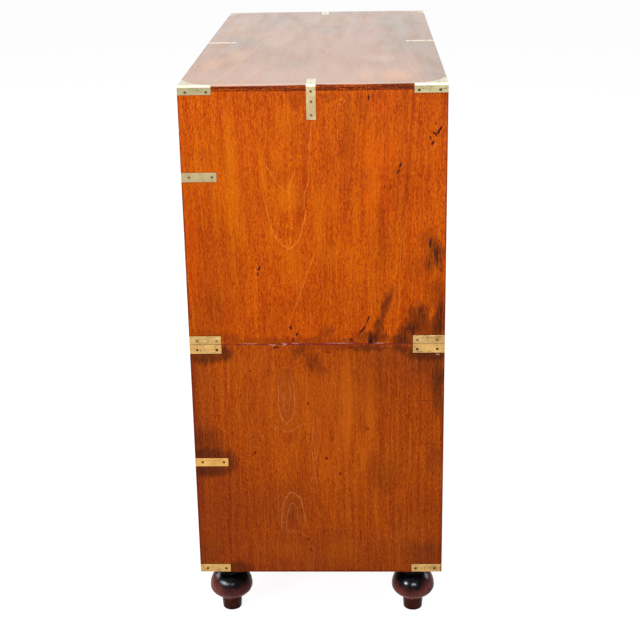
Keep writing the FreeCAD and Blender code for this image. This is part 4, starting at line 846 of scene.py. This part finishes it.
floor_half_m, floor_glow, floor_grey, soft_fill = 12, 0.88, 0.32, 0.30
floor_mesh = bmesh.new()
bmesh.ops.create_grid(floor_mesh, x_segments=1, y_segments=1, size=floor_half_m)
floor_data = bpy.data.meshes.new("floor")
floor_mesh.to_mesh(floor_data)
floor_mesh.free()
floor = bpy.data.objects.new("floor", floor_data)
bpy.context.scene.collection.objects.link(floor)
material, tree = new_material("pale_painted_floor")
glow = add(tree, "Math", {"operation": "MULTIPLY"}, (seen_ray(tree), floor_glow))[0]
paint = add(tree, "BsdfDiffuse", (), {"Color": (floor_grey, floor_grey, floor_grey, 1)})[0]
white = add(tree, "Emission", (), {"Color": (1, 1, 1, 1), "Strength": glow})[0]
both = add(tree, "AddShader", (), (paint, white))[0]
add(tree, "OutputMaterial", (), {"Surface": both})
floor_data.materials.append(material)

world = bpy.data.worlds.new("white_studio")
bpy.context.scene.world = world
world.use_nodes = True
tree = world.node_tree
tree.nodes.clear()
strength = add(tree, "MapRange", (), (seen_ray(tree), 0.0, 1.0, soft_fill, 1.0))[0]
glow = add(tree, "Background", (), {"Color": (1, 1, 1, 1), "Strength": strength})[0]
add(tree, "OutputWorld", (), {"Surface": glow})


def lamp(name, place, aim, width, height, power):
    """Soft rectangular lamp that points from place to aim."""
    data = bpy.data.lights.new(name, "AREA")
    data.shape = "RECTANGLE"
    data.size, data.size_y = width, height
    data.energy = power
    holder = bpy.data.objects.new(name, data)
    bpy.context.scene.collection.objects.link(holder)
    holder.location = place
    holder.rotation_euler = (Vector(aim) - Vector(place)).to_track_quat("-Z", "Y").to_euler()
    return holder


feet_aim, middle_aim = (0.5, 0, 0.2), (0, 0, 0.5)
lamp("over_the_end", (1.9, -0.1, 2.7), (0.4, 0, 0.9), 1.2, 1.2, 24)
lamp("left_of_the_camera", (2.7, -1.9, 1.15), feet_aim, 1.1, 0.45, 44)
lamp("behind_the_camera", (3.5, 0.35, 1.25), feet_aim, 0.5, 0.25, 30)
# gloss on the dark feet comes from bluish softboxes that light nothing else
left_place, right_place = (2.7, -1.9, 1.2), (3.5, 0.35, 1.25)
for row, softboxes in (
        ("front", ((left_place, 2.8, 0.6, 420), (left_place, 0.3, 0.25, 170),
                   (right_place, 0.9, 0.3, 50), ((-0.2, -3.2, 1.5), 1.6, 1.1, 170))),
        ("back", ((left_place, 0.5, 0.3, 340), (right_place, 1.1, 0.3, 230),
                  ((-0.4, 3.2, 1.4), 1.4, 1.1, 130)))):
    feet = bpy.data.collections.new(row + "_feet")
    for name in foot_names:
        if row in name:
            feet.objects.link(nodes[name])
    for place, width, height, power in softboxes:
        softbox = lamp(row + "_feet_softbox", place, feet_aim, width, height, power)
        softbox.data.color = (0.80, 0.89, 1.0)
        softbox.visible_diffuse = False
        softbox.light_linking.receiver_collection = feet
lamp("front", (-0.6, -3.2, 2.6), middle_aim, 4.0, 3.0, 54)
lamp("behind", (-2.6, 2.4, 2.6), middle_aim, 4.0, 3.0, 50).visible_glossy = False

camera_place = Vector((2.8141, 0.0851, 1.4164))
camera_data = bpy.data.cameras.new("camera")
camera_data.lens = 77.206
camera_data.sensor_width = 36.0
camera = bpy.data.objects.new("camera", camera_data)
bpy.context.scene.collection.objects.link(camera)
onward = Vector((-0.94337, -0.03226, -0.33018)).normalized()
side = Vector((-0.02856, 0.99946, -0.01605))
side = (side - onward * side.dot(onward)).normalized()
upward = side.cross(onward)
camera.matrix_world = Matrix.Translation(camera_place) @ Matrix(
    (side, upward, -onward)).transposed().to_4x4()
bpy.context.scene.camera = camera

bpy.context.scene.view_settings.view_transform = "Standard"
